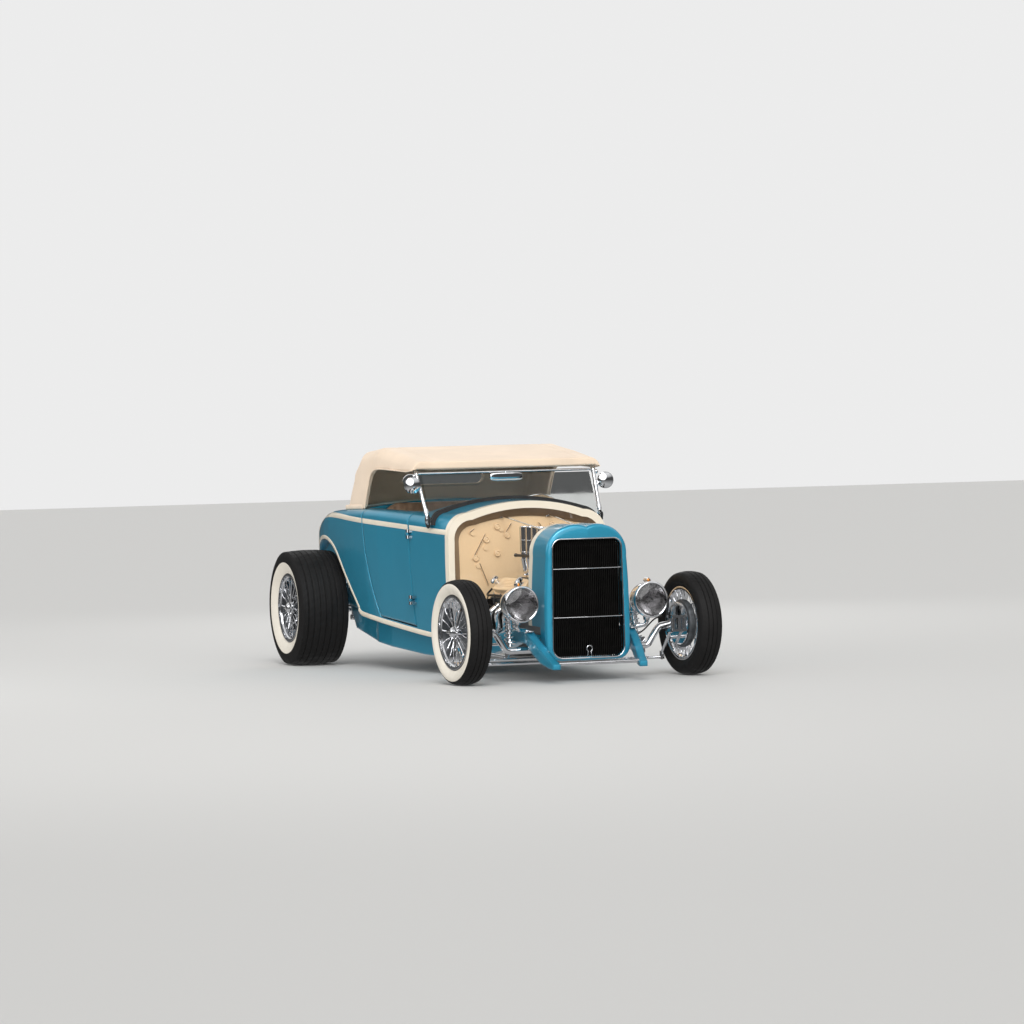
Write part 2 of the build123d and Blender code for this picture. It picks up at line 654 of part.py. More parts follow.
def wire(start, end):
    a, b = Vector(*start), Vector(*end)
    plane = Plane(origin=a, z_dir=(b - a).normalized())
    return extrude(plane * RegularPolygon(SPOKE_R, 5), (b - a).length)


front_tyre = tyre(FRONT_TYRE_R, FRONT_TYRE_WIDTH, FRONT_RIM_WIDTH)
rear_tyre = tyre(REAR_TYRE_R, REAR_TYRE_WIDTH, REAR_RIM_WIDTH)
front_rim = rim(FRONT_RIM_WIDTH, -60, 50, -66)
rear_rim = rim(REAR_RIM_WIDTH, 10, 128, 2)
front_place = Pos(FRONT_TRACK / 2, 0, FRONT_TYRE_R)
rear_place = Pos(REAR_TRACK / 2, WHEELBASE, REAR_TYRE_R)
for name, shape in (("tyre", front_tyre), ("rim", front_rim)):
    placed = front_place * shape
    keep(f"{name}_front_left", steered(placed, 1))
    keep(f"{name}_front_right", steered(mirrored(placed), -1))
for name, shape in (("tyre", rear_tyre), ("rim", rear_rim)):
    placed = rear_place * shape
    keep(f"{name}_rear_left", placed)
    keep(f"{name}_rear_right", mirrored(placed))

# Rear axle: housing tubes, a round differential, backing plates and stub shafts
axle_end = REAR_TRACK / 2 - 14
rear_axle = bar((-axle_end, WHEELBASE, REAR_TYRE_R), (axle_end, WHEELBASE, REAR_TYRE_R), 38)
rear_axle += Pos(0, WHEELBASE, REAR_TYRE_R) * Sphere(112)
rear_axle += bar((0, WHEELBASE, REAR_TYRE_R), (0, 2540, 352), 62)
for side in (-1, 1):
    def place(x):
        return (side * x, WHEELBASE, REAR_TYRE_R)
    rear_axle += bar(place(axle_end - 8), place(axle_end), DRUM_R - 12)
    rear_axle += bar(place(axle_end - 10), place(REAR_TRACK / 2 + 122), SPINDLE_R)
    rear_axle += Pos(side * 452, WHEELBASE, REAR_TYRE_R - 4) * Box(14, 96, 176)
keep("rear_axle", rear_axle)

# Rear coil-over units and trailing links
COIL_Y = WHEELBASE + 80
rear_parts = []
for side in (-1, 1):
    for low_z, high_z, front_y in ((REAR_TYRE_R - 72, 236, 2170), (REAR_TYRE_R + 66, 324, 2230)):
        arm = bar((side * 474, front_y, high_z), (side * 474, WHEELBASE - 20, low_z), 11)
        rail_face = along(RAIL, 1, front_y + 17) - RAIL_WIDTH - SEAT_GAP
        arm += bar((side * 462, front_y, high_z), (side * rail_face, front_y, high_z), 17)
        arm += bar((side * 459.5, WHEELBASE - 20, low_z), (side * 486, WHEELBASE - 20, low_z), 17)
        rear_parts += solids_of(arm)
    coil = bar((side * 400, COIL_Y, REAR_TYRE_R - 76), (side * 400, COIL_Y, 481.7), 14)
    for turn in range(5):
        z = REAR_TYRE_R - 48 + turn * 27
        coil += bar((side * 400, COIL_Y, z), (side * 400, COIL_Y, z + 15), 34)
    coil += bar((side * 390, COIL_Y, REAR_TYRE_R - 70), (side * 444.7, COIL_Y, REAR_TYRE_R - 70), 12)
    rear_parts += solids_of(coil)
keep("rear_suspension", Compound(rear_parts))

# Engine: a V8 block with heads and sump, its bell housing and gearbox, and the propeller shaft

def vee(points, y0, y1):
    """A front view outline given for the car's left half, mirrored and carried along the car."""
    full = points + [(-x, z) for x, z in reversed(points)]
    face = make_face(Polyline(*[(x, y0, z) for x, z in full], close=True))
    return extrude(face, y1 - y0, dir=(0, 1, 0))


def banked(low, high, half, y0, y1):
    """A block on the left bank between two distances from the crankshaft, mirrored to the right."""
    shape = block(-half, half, y0, y1, low, high)
    left = Pos(0, 0, CRANK_Z) * Rot(0, BANK, 0) * shape
    return left


HEAD_TOP, COVER_TOP = 318.0, 366.0
engine = vee([(100, 150), (118, 262), (150, 318), (214, 382), (118, 478), (50, 460)], 122, 690)
engine -= block(-400, 400, 0, 205, 0, 232)
head = banked(0, HEAD_TOP, 84, HEAD_FRONT, HEAD_REAR)
engine += head
engine += mirrored(head)
engine += bar((0, 680, CRANK_Z), (0, 800, CRANK_Z), 165) & block(-200, 200, 680, 800, 130, 600)
keep("engine_block", engine)

cover = banked(HEAD_TOP + SEAT_GAP, COVER_TOP, 60, HEAD_FRONT + 8, HEAD_REAR - 8)
cover = fillet(cover.edges().filter_by(Axis.Y), 14)
for y in (HEAD_FRONT + 60, HEAD_REAR - 60):
    cap = bar((0, y, COVER_TOP - 2), (0, y, COVER_TOP + 20), 19)
    cover += Pos(0, 0, CRANK_Z) * Rot(0, BANK, 0) * cap
keep("valve_covers", pair(cover))

gearbox = bar((0, 800 + SEAT_GAP, CRANK_Z), (0, 960, CRANK_Z), 100)
gearbox += bar((0, 950, CRANK_Z), (0, 1480, CRANK_Z), 72)
gearbox += block(-60, 60, 1150, 1210, 160 + SEAT_GAP, CRANK_Z)
gearbox += bar((0, 1470, CRANK_Z), (0, 2537, 352), 34)
keep("gearbox", gearbox)

pulleys = bar((0, 62, CRANK_Z), (0, 122 - SEAT_GAP, CRANK_Z), 24)
pulleys += bar((0, 82, CRANK_Z), (0, 104, CRANK_Z), 78)
pulleys += bar((0, 52, 425), (0, 122 - SEAT_GAP, 425), 22) + bar((0, 82, 425), (0, 104, 425), 62)
pulleys += bar((150, 70, 500), (150, 118, 500), 52) + bar((50, 100, 425), (150, 100, 500), 12)
for blade in range(6):
    pulleys += Pos(0, 58, 425) * Rot(0, blade * 60, 0) * Pos(80, 0, 0) * Rot(24, 0, 0) * Box(140, 3, 52)
keep("engine_pulleys", pulleys)

# Intake: a manifold in the vee under two rows of open stacks
intake = vee([(60, 470), (128, 540), (128, 600)], 220, 620)
stack_rows = [STACK_FIRST + step * STACK_PITCH for step in range(4)]
head_space = banked(0, HEAD_TOP + SEAT_GAP, 84 + SEAT_GAP, 0, 900)
intake -= head_space + mirrored(head_space)
for side in (-1, 1):
    for y in stack_rows:
        intake += bar((side * STACK_X * 0.8, y, 590), (side * STACK_X, y, STACK_LOW), STACK_R + 4)
        intake += bar((side * STACK_X, y, STACK_LOW - 6), (side * STACK_X, y, STACK_TOP), STACK_R)
        intake -= bar((side * STACK_X, y, STACK_LOW + 20), (side * STACK_X, y, STACK_TOP + 5), STACK_R - 3)
keep("intake_stacks", intake)

# Exhaust: four header pipes a side gather into a collector, a silencer and a tail pipe
PORTS = [212, 338, 464, 590]
EXHAUST_X = 272.0
exhaust = None
for y in PORTS:
    pipe = bent_bar([(262, y, 424), (318, y + 4, 380), (292, y + 62, 290), (EXHAUST_X, 740, 200)], 30, 17)
    exhaust = pipe if exhaust is None else exhaust + pipe
exhaust += bar((EXHAUST_X + 2, 700, 206), (EXHAUST_X, 840, 190), 30)
tail_path = [(830, 190), (1230, 196), (1940, 262), (2380, 262)]
exhaust += bent_bar([(EXHAUST_X, *point) for point in tail_path], 200, 25)
exhaust += bar((EXHAUST_X, 1290, 202), (EXHAUST_X, 1720, 240), 52)
exhaust -= banked(0, HEAD_TOP + 1, 84.3, HEAD_FRONT, HEAD_REAR)
keep("exhaust", pair(max(solids_of(exhaust), key=lambda one: one.volume)))


# Grille shell: a rounded surround whose front comes to a shallow vee, with a dip between two low humps

def shell_wire(grow, y):
    half, shoulder = SHELL_HALF - grow, SHELL_SHOULDER - grow
    low, top = SHELL_LOW + grow, SHELL_TOP - grow
    foot, corner = 74.0, 640.0

    def at(x, z):
        return (x, y, z)

    edges = [Edge.make_line(at(-half + foot, low), at(half - foot, low))]
    right = [
        (at(half - foot, low), at(half - foot * 0.29, low + foot * 0.29), at(half, low + foot)),
        (at(half, low + foot), at(half + 2, (low + foot + corner) / 2), at(shoulder, corner + 80)),
        (at(shoulder, corner + 80), at(shoulder * 0.85, top - 64), at(shoulder * 0.5, top - 10)),
        (at(shoulder * 0.5, top - 10), at(shoulder * 0.28, top), at(0, top - SHELL_DIP)),
    ]
    for start, mid, end in right:
        edges.append(Edge.make_three_point_arc(start, mid, end))
    for start, mid, end in reversed(right):
        flip = [(-p[0], p[1], p[2]) for p in (end, mid, start)]
        edges.append(Edge.make_three_point_arc(*flip))
    return Wire(edges)


def opening_wire(grow, y):
    half, low, top = OPENING_HALF + grow, OPENING_LOW - grow, OPENING_TOP + grow
    foot, corner = 60.0, 52.0
    edges = []

    def at(x, z):
        return (x, y, z)

    def arc(cx, cz, radius, a0):
        turns = [math.radians(a) for a in (a0, a0 + 45, a0 + 90)]
        return [at(cx + radius * math.cos(a), cz + radius * math.sin(a)) for a in turns]

    top_half = half - 8
    corners = [
        arc(half - foot, low + foot, foot, -90),
        arc(top_half - corner, top - corner, corner, 0),
        arc(-top_half + corner, top - corner, corner, 90),
        arc(-half + foot, low + foot, foot, 180),
    ]
    for here, after in zip(corners, corners[1:] + corners[:1]):
        edges.append(Edge.make_three_point_arc(*here))
        edges.append(Edge.make_line(here[2], after[0]))
    return Wire(edges)


SHELL_WALL = 14.0
vee_cut = [(-400, SHELL_FRONT - 22), (0, SHELL_NOSE), (400, SHELL_FRONT - 22), (400, -500), (-400, -500)]
vee_front = extrude(make_face(Polyline(*vee_cut, close=True)), 1200)
grille_shell = extrude(Face(shell_wire(0, -230)), SHELL_REAR + 230, dir=(0, 1, 0)) - vee_front
grille_shell -= extrude(Face(shell_wire(SHELL_WALL, -118)), 400, dir=(0, 1, 0))
grille_shell -= extrude(Face(opening_wire(0, -300)), 400, dir=(0, 1, 0))
grille_shell -= block(-400, 400, -96, 200, 0, 322)
keep("grille_shell", grille_shell)


def vee_depth(x):
    return SHELL_NOSE + abs(x) / 400 * (SHELL_FRONT - 22 - SHELL_NOSE)


insert = None
opening_fill = extrude(Face(opening_wire(-SEAT_GAP, -300)), 400, dir=(0, 1, 0))
for z in (190, 372, 648, 780):
    plan = [(-230, vee_depth(230) + 22), (0, SHELL_NOSE + 22), (230, vee_depth(230) + 22)]
    plan += [(x, y + 6) for x, y in reversed(plan)]
    tie = extrude(Pos(0, 0, z) * make_face(Polyline(*plan, close=True)), 6) & opening_fill
    insert = tie if insert is None else insert + tie
count = int(OPENING_HALF / GRILLE_PITCH)
for step in range(-count, count + 1):
    x = step * GRILLE_PITCH
    y = vee_depth(x) + 12
    insert += block(x - GRILLE_BAR / 2, x + GRILLE_BAR / 2, y, y + 14, 120, 840) & opening_fill
keep("grille_insert", insert)

radiator = block(-226, 226, -88, -40, 296, 840)
radiator += block(-214, 214, -96, -34, 780, 858)
radiator += block(-226, 226, -96, -34, 284, 330)
keep("radiator", radiator & extrude(Face(shell_wire(SHELL_WALL + 3, -118)), 400, dir=(0, 1, 0)))

stays = []
for side in (-1, 1):
    stay = bar((side * 128, SHELL_REAR - 40, 858), (side * 150, FIREWALL_Y - 12, 946), 5)
    stay += block(-14, 14, -14, -SEAT_GAP, -10, 10).moved(Location((side * 150, FIREWALL_Y, 946)))
    stays += solids_of(stay)
keep("radiator_stays", Compound(stays))

# Fuel tank across the frame behind the coil-over crossmember
keep("fuel_tank", block(-400, 400, 2800, 2950, 480 + SEAT_GAP, 572))

# Headlamps on stands from the rails
lamp_back = LAMP_FACE + LAMP_DEPTH
lamp_edge = (LAMP_R - 6, LAMP_FACE, 0)
lamp_seat = (LAMP_R - 13, LAMP_FACE + 14, 0)
lamp_rear = (LAMP_R - 6, LAMP_FACE + 28, 0)
lens_tip, bowl_tip = (LAMP_TIP_R, LAMP_FACE + 6, 0), (LAMP_TIP_R, lamp_back, 0)
lamp_profile = Wire([
    Edge.make_line((0, lamp_back, 0), (0, LAMP_FACE + 6, 0)),
    Edge.make_line((0, LAMP_FACE + 6, 0), lens_tip),
    Edge.make_three_point_arc(lens_tip, (LAMP_R / 2, LAMP_FACE + 9, 0), lamp_seat),
    Edge.make_line(lamp_seat, lamp_edge),
    Edge.make_line(lamp_edge, (LAMP_R, LAMP_FACE + 8, 0)),
    Edge.make_line((LAMP_R, LAMP_FACE + 8, 0), lamp_rear),
    Edge.make_three_point_arc(lamp_rear, (LAMP_R * 0.68, lamp_back - 50, 0), bowl_tip),
    Edge.make_line(bowl_tip, (0, lamp_back, 0)),
])
lamp = Pos(LAMP_X, 0, LAMP_Z) * revolve(Face(lamp_profile), Axis.Y)
lamp += bar((LAMP_X, -104, LAMP_Z + 90), (LAMP_X, -104, LAMP_Z + 126), 13)
lamp += bar((LAMP_X, -84, LAMP_Z - 80), (LAMP_X, -84, LAMP_Z - 122), 20)
stand_foot = along(RAIL, 3, -60)
stand_path = [(LAMP_X, -84, LAMP_Z - 100), (LAMP_X, -80, LAMP_Z - 146), (330, -60, stand_foot + 6)]
lamp += bent_bar(stand_path, 16, 13)
lamp += block(-16, 16, -24, 24, 1, 10).moved(Location((318, -64, stand_foot)))
lamp = lamp - rails[0]
keep("headlamps", pair(max(solids_of(lamp), key=lambda one: one.volume)))

# Windshield: raked posts on the cowl's sides with round mirrors, a top rail, the glass and its seal
rake_y, rake_z = POST_HIGH[0] - POST_LOW[0], POST_HIGH[1] - POST_LOW[1]
post_high = (POST_X_HIGH, *POST_HIGH)
post = bar((POST_X_LOW - 2, POST_LOW[0] - rake_y * 0.2, POST_LOW[1] - rake_z * 0.2), post_high, POST_R)
post += block(544.5, POST_X_LOW + 8, 955, 1000, 905, 950)
post += bar((565, 1070, 1110), (596, 1064, 1126), 6) + bar((596, 1064, 1126), MIRROR, 6)
post += bar((MIRROR[0], MIRROR[1] - 9, MIRROR[2]), (MIRROR[0], MIRROR[1] + 9, MIRROR[2]), MIRROR_R)
post -= skin
frame = post + mirrored(post)
top_rail = (POST_HIGH[0] - 4, POST_HIGH[1] - 8)
frame += bar((-POST_X_HIGH, *top_rail), (POST_X_HIGH, *top_rail), 8)
keep("windshield_frame", frame)


def pane(thick, top):
    """The raked plane between the posts as a slab, up to a height."""
    half = thick / 2
    y_at = [POST_LOW[0] + (z - POST_LOW[1]) * rake_y / rake_z for z in (900, top)]
    low_edge = [(y_at[0] - half, 900), (y_at[0] + half, 900)]
    return side_prism(low_edge + [(y_at[1] + half, top), (y_at[1] - half, top)], -700, 700)


side_limit = block(-POST_X_LOW + 14, POST_X_LOW - 14, 800, 1300, 700, 1400)
seal = (pane(26, 1120) & body_solid(inset=-18) & side_limit) - skin
glass_foot = body_solid(inset=-10)
glass = (pane(6, 1195) & side_limit) - glass_foot
seal -= pane(7, 1205) - glass_foot
keep("windshield_seal", seal)
keep("windshield_glass", glass)

# Soft top: a padded shell, open in front, below and at the side windows
top_line = [(2401, 948), (2291, 1104), (2200, 1232), (2040, 1338)]
top_line += [(1750, 1362), (1400, 1322), (HEADER_Y, 1276)]


def top_solid(inset):
    points = [(0, y, z) for y, z in top_line]
    points[0] = (0, 2401 - inset, 940)
    path = FilletPolyline(*points, radius=90)
    bottom = [(0, HEADER_Y, 940), (0, 2401, 940)]
    outline = Wire([*path.edges(), Edge.make_line(path @ 1, bottom[0]), Edge.make_line(bottom[0], path @ 0)])
    face = Face(outline)
    return extrude(face, TOP_HALF - inset, dir=(1, 0, 0), both=True)


roof = top_solid(0)
side_edges = [e for e in roof.edges() if abs(abs(e.center().X) - TOP_HALF) < 1]
roof_edges = [e for e in side_edges if e.center().Z > 941 and e.center().Y > HEADER_Y + 1]
roof = fillet(roof_edges, TOP_EDGE)
hollow_line = Pos(0, 0, -TOP_THICK) * top_solid(TOP_THICK)
hollow = block(-TOP_HALF + TOP_THICK, TOP_HALF - TOP_THICK, HEADER_Y - 50, 2377, 800, 1400) & hollow_line
header = block(-TOP_HALF + 10, TOP_HALF - 10, HEADER_Y, HEADER_Y + 44, 1228, 1270)
soft_top = roof - (hollow - header)
window = [(1000, 900), (1000, 1228), (1200, 1216), (1639, 1230), (1771, 1227)]
window += [(1858, 1193), (1920, 1107), (1975, 1008), (2040, 900)]
soft_top -= side_prism(window, -800, 800)
soft_top -= block(-560, 560, 900, 2250, 900, 1150)
soft_top -= block(-230, 230, 2150, 2420, REAR_PANE_Z - REAR_PANE_R, REAR_PANE_Z + REAR_PANE_R)
for side in (-230, 230):
    soft_top -= bar((side, 2150, REAR_PANE_Z), (side, 2420, REAR_PANE_Z), REAR_PANE_R)
soft_top -= body_solid(inset=-SEAT_GAP)
soft_top = max(solids_of(soft_top), key=lambda one: one.volume)
keep("soft_top", soft_top)

# Dash, seat and tail lamps
dash = (block(-620, 620, 1118, 1158, 800, 1100) & cavity) - cowl
for x, radius in ((-120, 30), (-40, 30), (40, 30), (120, 30), (240, 46), (345, 46)):
    dash += bar((x, 1156, 880), (x, 1163, 880), radius)
keep("dash", dash)

seat_cushion = fillet(block(-500, 500, 1450, 1840, 372, 520).edges(), 30)
keep("seat_cushion", seat_cushion - bar(*tunnel_line, TUNNEL_R + 2))
seat_back = side_prism([(1868, 400), (1958, 1040), (2028, 1040), (1985, 400)], -500, 500)
keep("seat_back", fillet(seat_back.edges().filter_by(Axis.X), 24) - bar(*tunnel_line, TUNNEL_R + 2))

tail = []
for side in (-1, 1):
    tail += solids_of(bar((side * 350, 3040 + SEAT_GAP, 610), (side * 350, 3064, 610), 40))
plate_base = block(-PLATE_HALF, PLATE_HALF, 3040 + SEAT_GAP, 3050, PLATE_Z - 80, PLATE_Z + 80)
for x in (-PLATE_HOLE_X / 2, PLATE_HOLE_X / 2):
    for z in (PLATE_Z - PLATE_HOLE_Z / 2, PLATE_Z + PLATE_HOLE_Z / 2):
        plate_base -= bar((x, 3000, z), (x, 3100, z), PLATE_HOLE_R)
tail += solids_of(plate_base)
keep("tail_lamps", Compound(tail))
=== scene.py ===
import json
import math

import bmesh
import bpy
import numpy as np
from mathutils import Matrix, Vector


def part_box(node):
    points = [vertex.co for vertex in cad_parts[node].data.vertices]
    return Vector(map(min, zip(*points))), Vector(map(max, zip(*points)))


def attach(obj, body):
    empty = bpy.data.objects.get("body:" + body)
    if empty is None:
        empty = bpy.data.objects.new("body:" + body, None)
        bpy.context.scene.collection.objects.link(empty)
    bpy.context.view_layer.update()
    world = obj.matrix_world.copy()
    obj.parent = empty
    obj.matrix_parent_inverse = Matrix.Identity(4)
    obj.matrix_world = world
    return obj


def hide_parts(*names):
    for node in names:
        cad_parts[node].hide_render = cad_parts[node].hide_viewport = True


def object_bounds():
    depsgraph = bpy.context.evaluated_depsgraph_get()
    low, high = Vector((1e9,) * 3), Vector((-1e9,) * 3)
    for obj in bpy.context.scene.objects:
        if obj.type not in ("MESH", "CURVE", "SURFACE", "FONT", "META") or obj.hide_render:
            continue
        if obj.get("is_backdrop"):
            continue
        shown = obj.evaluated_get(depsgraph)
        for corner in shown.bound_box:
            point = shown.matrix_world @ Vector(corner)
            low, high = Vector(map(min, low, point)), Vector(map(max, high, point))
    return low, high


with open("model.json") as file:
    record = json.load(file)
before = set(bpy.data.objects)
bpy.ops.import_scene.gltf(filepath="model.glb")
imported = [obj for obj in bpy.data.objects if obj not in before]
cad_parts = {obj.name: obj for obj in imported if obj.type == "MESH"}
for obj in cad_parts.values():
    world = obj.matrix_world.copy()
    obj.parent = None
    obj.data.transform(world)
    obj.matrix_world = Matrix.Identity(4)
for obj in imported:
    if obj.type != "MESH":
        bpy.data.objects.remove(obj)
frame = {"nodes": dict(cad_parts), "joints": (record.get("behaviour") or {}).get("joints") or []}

bl_info = {
    "name": "Street rod roadster dressing",
    "version": (1, 0, 0),
    "blender": (4, 5, 0),
    "location": "View3D > Sidebar > Roadster",
    "description": "Paint, chrome, tyres, wire wheels, trim and soft goods for a street rod roadster",
    "category": "Object",
}

# The construction's stations run rearward from the front axle, which lies this far ahead of the origin
MIDDLE = 1.354
# The rear wheel arch, as in the construction: centre, radius and the lean of its front flare
ARCH_CENTRE = (2.692, 0.3635)
ARCH_R = 0.430
ARCH_LEAN = math.radians(44)
# The station of the cowl's front edge, and the height below which the firewall is black
COWL_FRONT = 0.765
FIREWALL_FOOT = 0.455
# The headlamps: middle across, middle height, and the station of the bezel's front
LAMP_X, LAMP_Z, LAMP_FACE = 0.403, 0.457, -0.171
# The vee of the grille: the station of its nose, and how far it runs rearward per metre across
VEE_NOSE, VEE_SLOPE = -0.198, 0.06

REARWARD = np.array([0.0, 1.0, 0.0])
UP = np.array([0.0, 0.0, 1.0])
FULL_TURN = 2 * math.pi
NODES = frame["nodes"]


def at(x, station, z):
    """A point given as the construction gives it: across, station behind the front axle, height."""
    return np.array([x, station - MIDDLE, z], float)


# Paints and sizes that a user would change

def colour(label, description, value):
    """A paint's property, with its colour as the default."""
    return bpy.props.FloatVectorProperty(
        name=label, description=description, subtype="COLOR", size=3, min=0.0, max=1.0, default=value)


def length(label, description, value):
    """A size's property in metres."""
    return bpy.props.FloatProperty(
        name=label, description=description, unit="LENGTH", subtype="DISTANCE", precision=4, default=value)


class RoadsterPaints(bpy.types.PropertyGroup):
    body: colour("Body", "Metallic teal of body, frame and grille shell", (0.034, 0.325, 0.495))
    cream: colour("Cream", "Cream of the firewall, bands and valve covers", (0.87, 0.62, 0.37))
    stripe: colour("Stripe", "Paler cream of the raised beads", (0.84, 0.76, 0.62))
    whitewall: colour("Whitewall", "Cream-white rubber of the tyre bands", (0.76, 0.71, 0.62))
    rubber: colour("Rubber", "Black rubber of the tyres", (0.010, 0.0095, 0.0095))
    cloth: colour("Top cloth", "Cream cloth of the lift-off top", (0.79, 0.63, 0.475))
    leather: colour("Leather", "Tan leather of the seat", (0.40, 0.27, 0.18))
    black: colour("Black", "Black enamel of the slats and radiator", (0.012, 0.011, 0.011))


class RoadsterSizes(bpy.types.PropertyGroup):
    bead_width: length("Bead width", "Width of the raised belt bead", 0.032)
    bead_rise: length("Bead rise", "How far the beads stand out of the panels", 0.0035)
    band_width: length("Cowl band", "Width of the cream band round the cowl's front edge", 0.045)
    shell_band: length("Shell band", "Width of the cream band on the grille shell's rear edge", 0.055)
    front_white_in: length("Front whitewall inside", "Inner radius of the front whitewall", 0.212)
    front_white_out: length("Front whitewall outside", "Outer radius of the front whitewall", 0.282)
    rear_white_in: length("Rear whitewall inside", "Inner radius of the rear whitewall", 0.220)
    rear_white_out: length("Rear whitewall outside", "Outer radius of the rear whitewall", 0.290)
    groove_depth: length("Tread groove", "Depth of the tyre grooves", 0.005)
    wire: length("Wire", "Radius of a wheel wire", 0.0024)
    pad_cap: length("Padding", "How far the padding may swell", 0.012)


# Mesh making: every shape is a grid of points or a profile carried along a path

def quads_of(rows, columns, wrap_rows, wrap_columns):
    """Quads between neighbouring points of a grid, row by row, with wrapped edges joined."""
    r = np.arange(rows if wrap_rows else rows - 1)
    c = np.arange(columns if wrap_columns else columns - 1)
    r, c = np.meshgrid(r, c, indexing="ij")
    r_next, c_next = (r + 1) % rows, (c + 1) % columns
    corners = [r * columns + c, r_next * columns + c, r_next * columns + c_next, r * columns + c_next]
    return np.stack(corners, -1).reshape(-1, 4)


class Grid:
    """A grid of points with how its edges join, and which of the piece's finishes it shows."""

    def __init__(self, points, wrap_rows=False, wrap_columns=False, finish=0):
        self.points = np.asarray(points, float)
        self.quads = quads_of(*self.points.shape[:2], wrap_rows, wrap_columns)
        self.finish = finish


def build_piece(name, grids, finishes, body, sharp=40, weld=2e-5):
    """One object from grids: points welded, faces turned outwards, edges over the angle kept sharp."""
    vertices, faces, slots, start = [], [], [], 0
    for grid in grids:
        flat = grid.points.reshape(-1, 3)
        vertices.append(flat)
        faces.append(grid.quads + start)
        slots.append(np.full(len(grid.quads), grid.finish))
        start += len(flat)
    mesh = bpy.data.meshes.new(name)
    mesh.from_pydata(np.concatenate(vertices), [], np.concatenate(faces))
    mesh.polygons.foreach_set("material_index", np.concatenate(slots).astype(np.int32))
    piece = bpy.data.objects.new(name, mesh)
    bpy.context.scene.collection.objects.link(piece)
    for finish in finishes:
        mesh.materials.append(finish)
    tidy_mesh(mesh, sharp, weld)
    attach(piece, body)
    return piece


def tidy_mesh(mesh, sharp, weld):
    """Doubles welded, empty faces dropped, normals outwards, smooth but for edges over the angle."""
    work = bmesh.new()
    work.from_mesh(mesh)
    bmesh.ops.remove_doubles(work, verts=work.verts, dist=weld)
    bmesh.ops.dissolve_degenerate(work, edges=work.edges, dist=weld / 4)
    bmesh.ops.recalc_face_normals(work, faces=work.faces)
    limit = math.radians(sharp)
    for edge in work.edges:
        edge.smooth = len(edge.link_faces) != 2 or edge.calc_face_angle(0.0) < limit
    for face in work.faces:
        face.smooth = True
    work.to_mesh(mesh)
    work.free()


def rows_of(items, key):
    """One vector a row, read from a mesh's vertices or faces."""
    flat = np.zeros(len(items) * 3)
    items.foreach_get(key, flat)
    return flat.reshape(-1, 3)


def axes_of(direction):
    """A direction brought to length 1, with two more at right angles to it and to each other."""
    a = np.asarray(direction, float)
    a = a / np.linalg.norm(a)
    other = UP if abs(a[2]) < 0.9 else np.array([1.0, 0.0, 0.0])
    first = np.cross(other, a)
    first /= np.linalg.norm(first)
    return a, first, np.cross(a, first)


def around(steps):
    """Even angles round a full turn, its end left off because it is its start."""
    return np.linspace(0, FULL_TURN, steps, endpoint=False)


def turned(profile, centre, direction, steps=48, finish=0, wrap=False):
    """A profile of (along, radius) pairs turned about an axis: centre + along*a + radius*(cos*e + sin*f)."""
    a, e, f = axes_of(direction)
    profile = np.asarray(profile, float)
    angles = around(steps)
    spoke = np.cos(angles)[:, None] * e + np.sin(angles)[:, None] * f
    points = np.asarray(centre) + profile[None, :, :1] * a + profile[None, :, 1:] * spoke[:, None, :]
    return Grid(points, True, wrap, finish)


def curve_through(points, per=8):
    """A smooth line through given points: Catmull-Rom cubics with a fixed number of steps a run."""
    p = np.asarray(points, float)
    p = np.vstack([2 * p[0] - p[1], p, 2 * p[-1] - p[-2]])
    t = np.linspace(0, 1, per, endpoint=False)[:, None]
    a, b, c, d = (p[k:len(p) - 3 + k, None, :] for k in range(4))
    square, cube = 2 * a - 5 * b + 4 * c - d, 3 * b - a - 3 * c + d
    runs = 0.5 * (2 * b + (c - a) * t + square * t ** 2 + cube * t ** 3)
    return np.vstack([runs.reshape(-1, p.shape[1]), p[-2]])


def tube(path, radius, sides=12, finish=0, capped=True):
    """A round profile carried along a path, with its ends drawn to a point: path + r*(cos*n + sin*b)."""
    p = np.asarray(path, float)
    r = np.full(len(p), radius) if np.isscalar(radius) else np.asarray(radius, float)
    tangent = np.gradient(p, axis=0)
    tangent /= np.linalg.norm(tangent, axis=1)[:, None]
    steady = np.eye(3)[int(np.argmin(np.abs(tangent).mean(0)))]
    normal = np.cross(tangent, steady)
    normal /= np.linalg.norm(normal, axis=1)[:, None]
    binormal = np.cross(tangent, normal)
    if capped:
        p, r = np.vstack([p[0], p, p[-1]]), np.concatenate([[0], r, [0]])
        normal = np.vstack([normal[0], normal, normal[-1]])
        binormal = np.vstack([binormal[0], binormal, binormal[-1]])
    angles = around(sides)[None, :, None]
    circle = np.cos(angles) * normal[:, None, :] + np.sin(angles) * binormal[:, None, :]
    return Grid(p[:, None, :] + r[:, None, None] * circle, False, True, finish)


def slab(centre, size, rounding=0.15, steps=4, finish=0, turn=None):
    """A box with rounded edges: a superellipsoid grid, x = a*sgn(cos)|cos|^e and so on for y and z."""
    u = np.linspace(-math.pi / 2, math.pi / 2, steps * 6 + 1)[:, None]
    v = around(steps * 12)[None, :]

    def power(value):
        """sgn(v)*|v|^e, which squares the circle off as e falls."""
        return np.sign(value) * np.abs(value) ** rounding

    x = power(np.cos(u)) * power(np.cos(v))
    y = power(np.cos(u)) * power(np.sin(v))
    z = power(np.sin(u)) + 0 * v
    points = np.stack([x * size[0] / 2, y * size[1] / 2, z * size[2] / 2], -1)
    if turn is not None:
        points = points @ np.asarray(turn, float).T
    return Grid(points + np.asarray(centre, float), False, True, finish)


def turn_about(axis, degrees):
    """The rotation about X, Y or Z as a 3 by 3 array."""
    return np.array(Matrix.Rotation(math.radians(degrees), 3, axis))


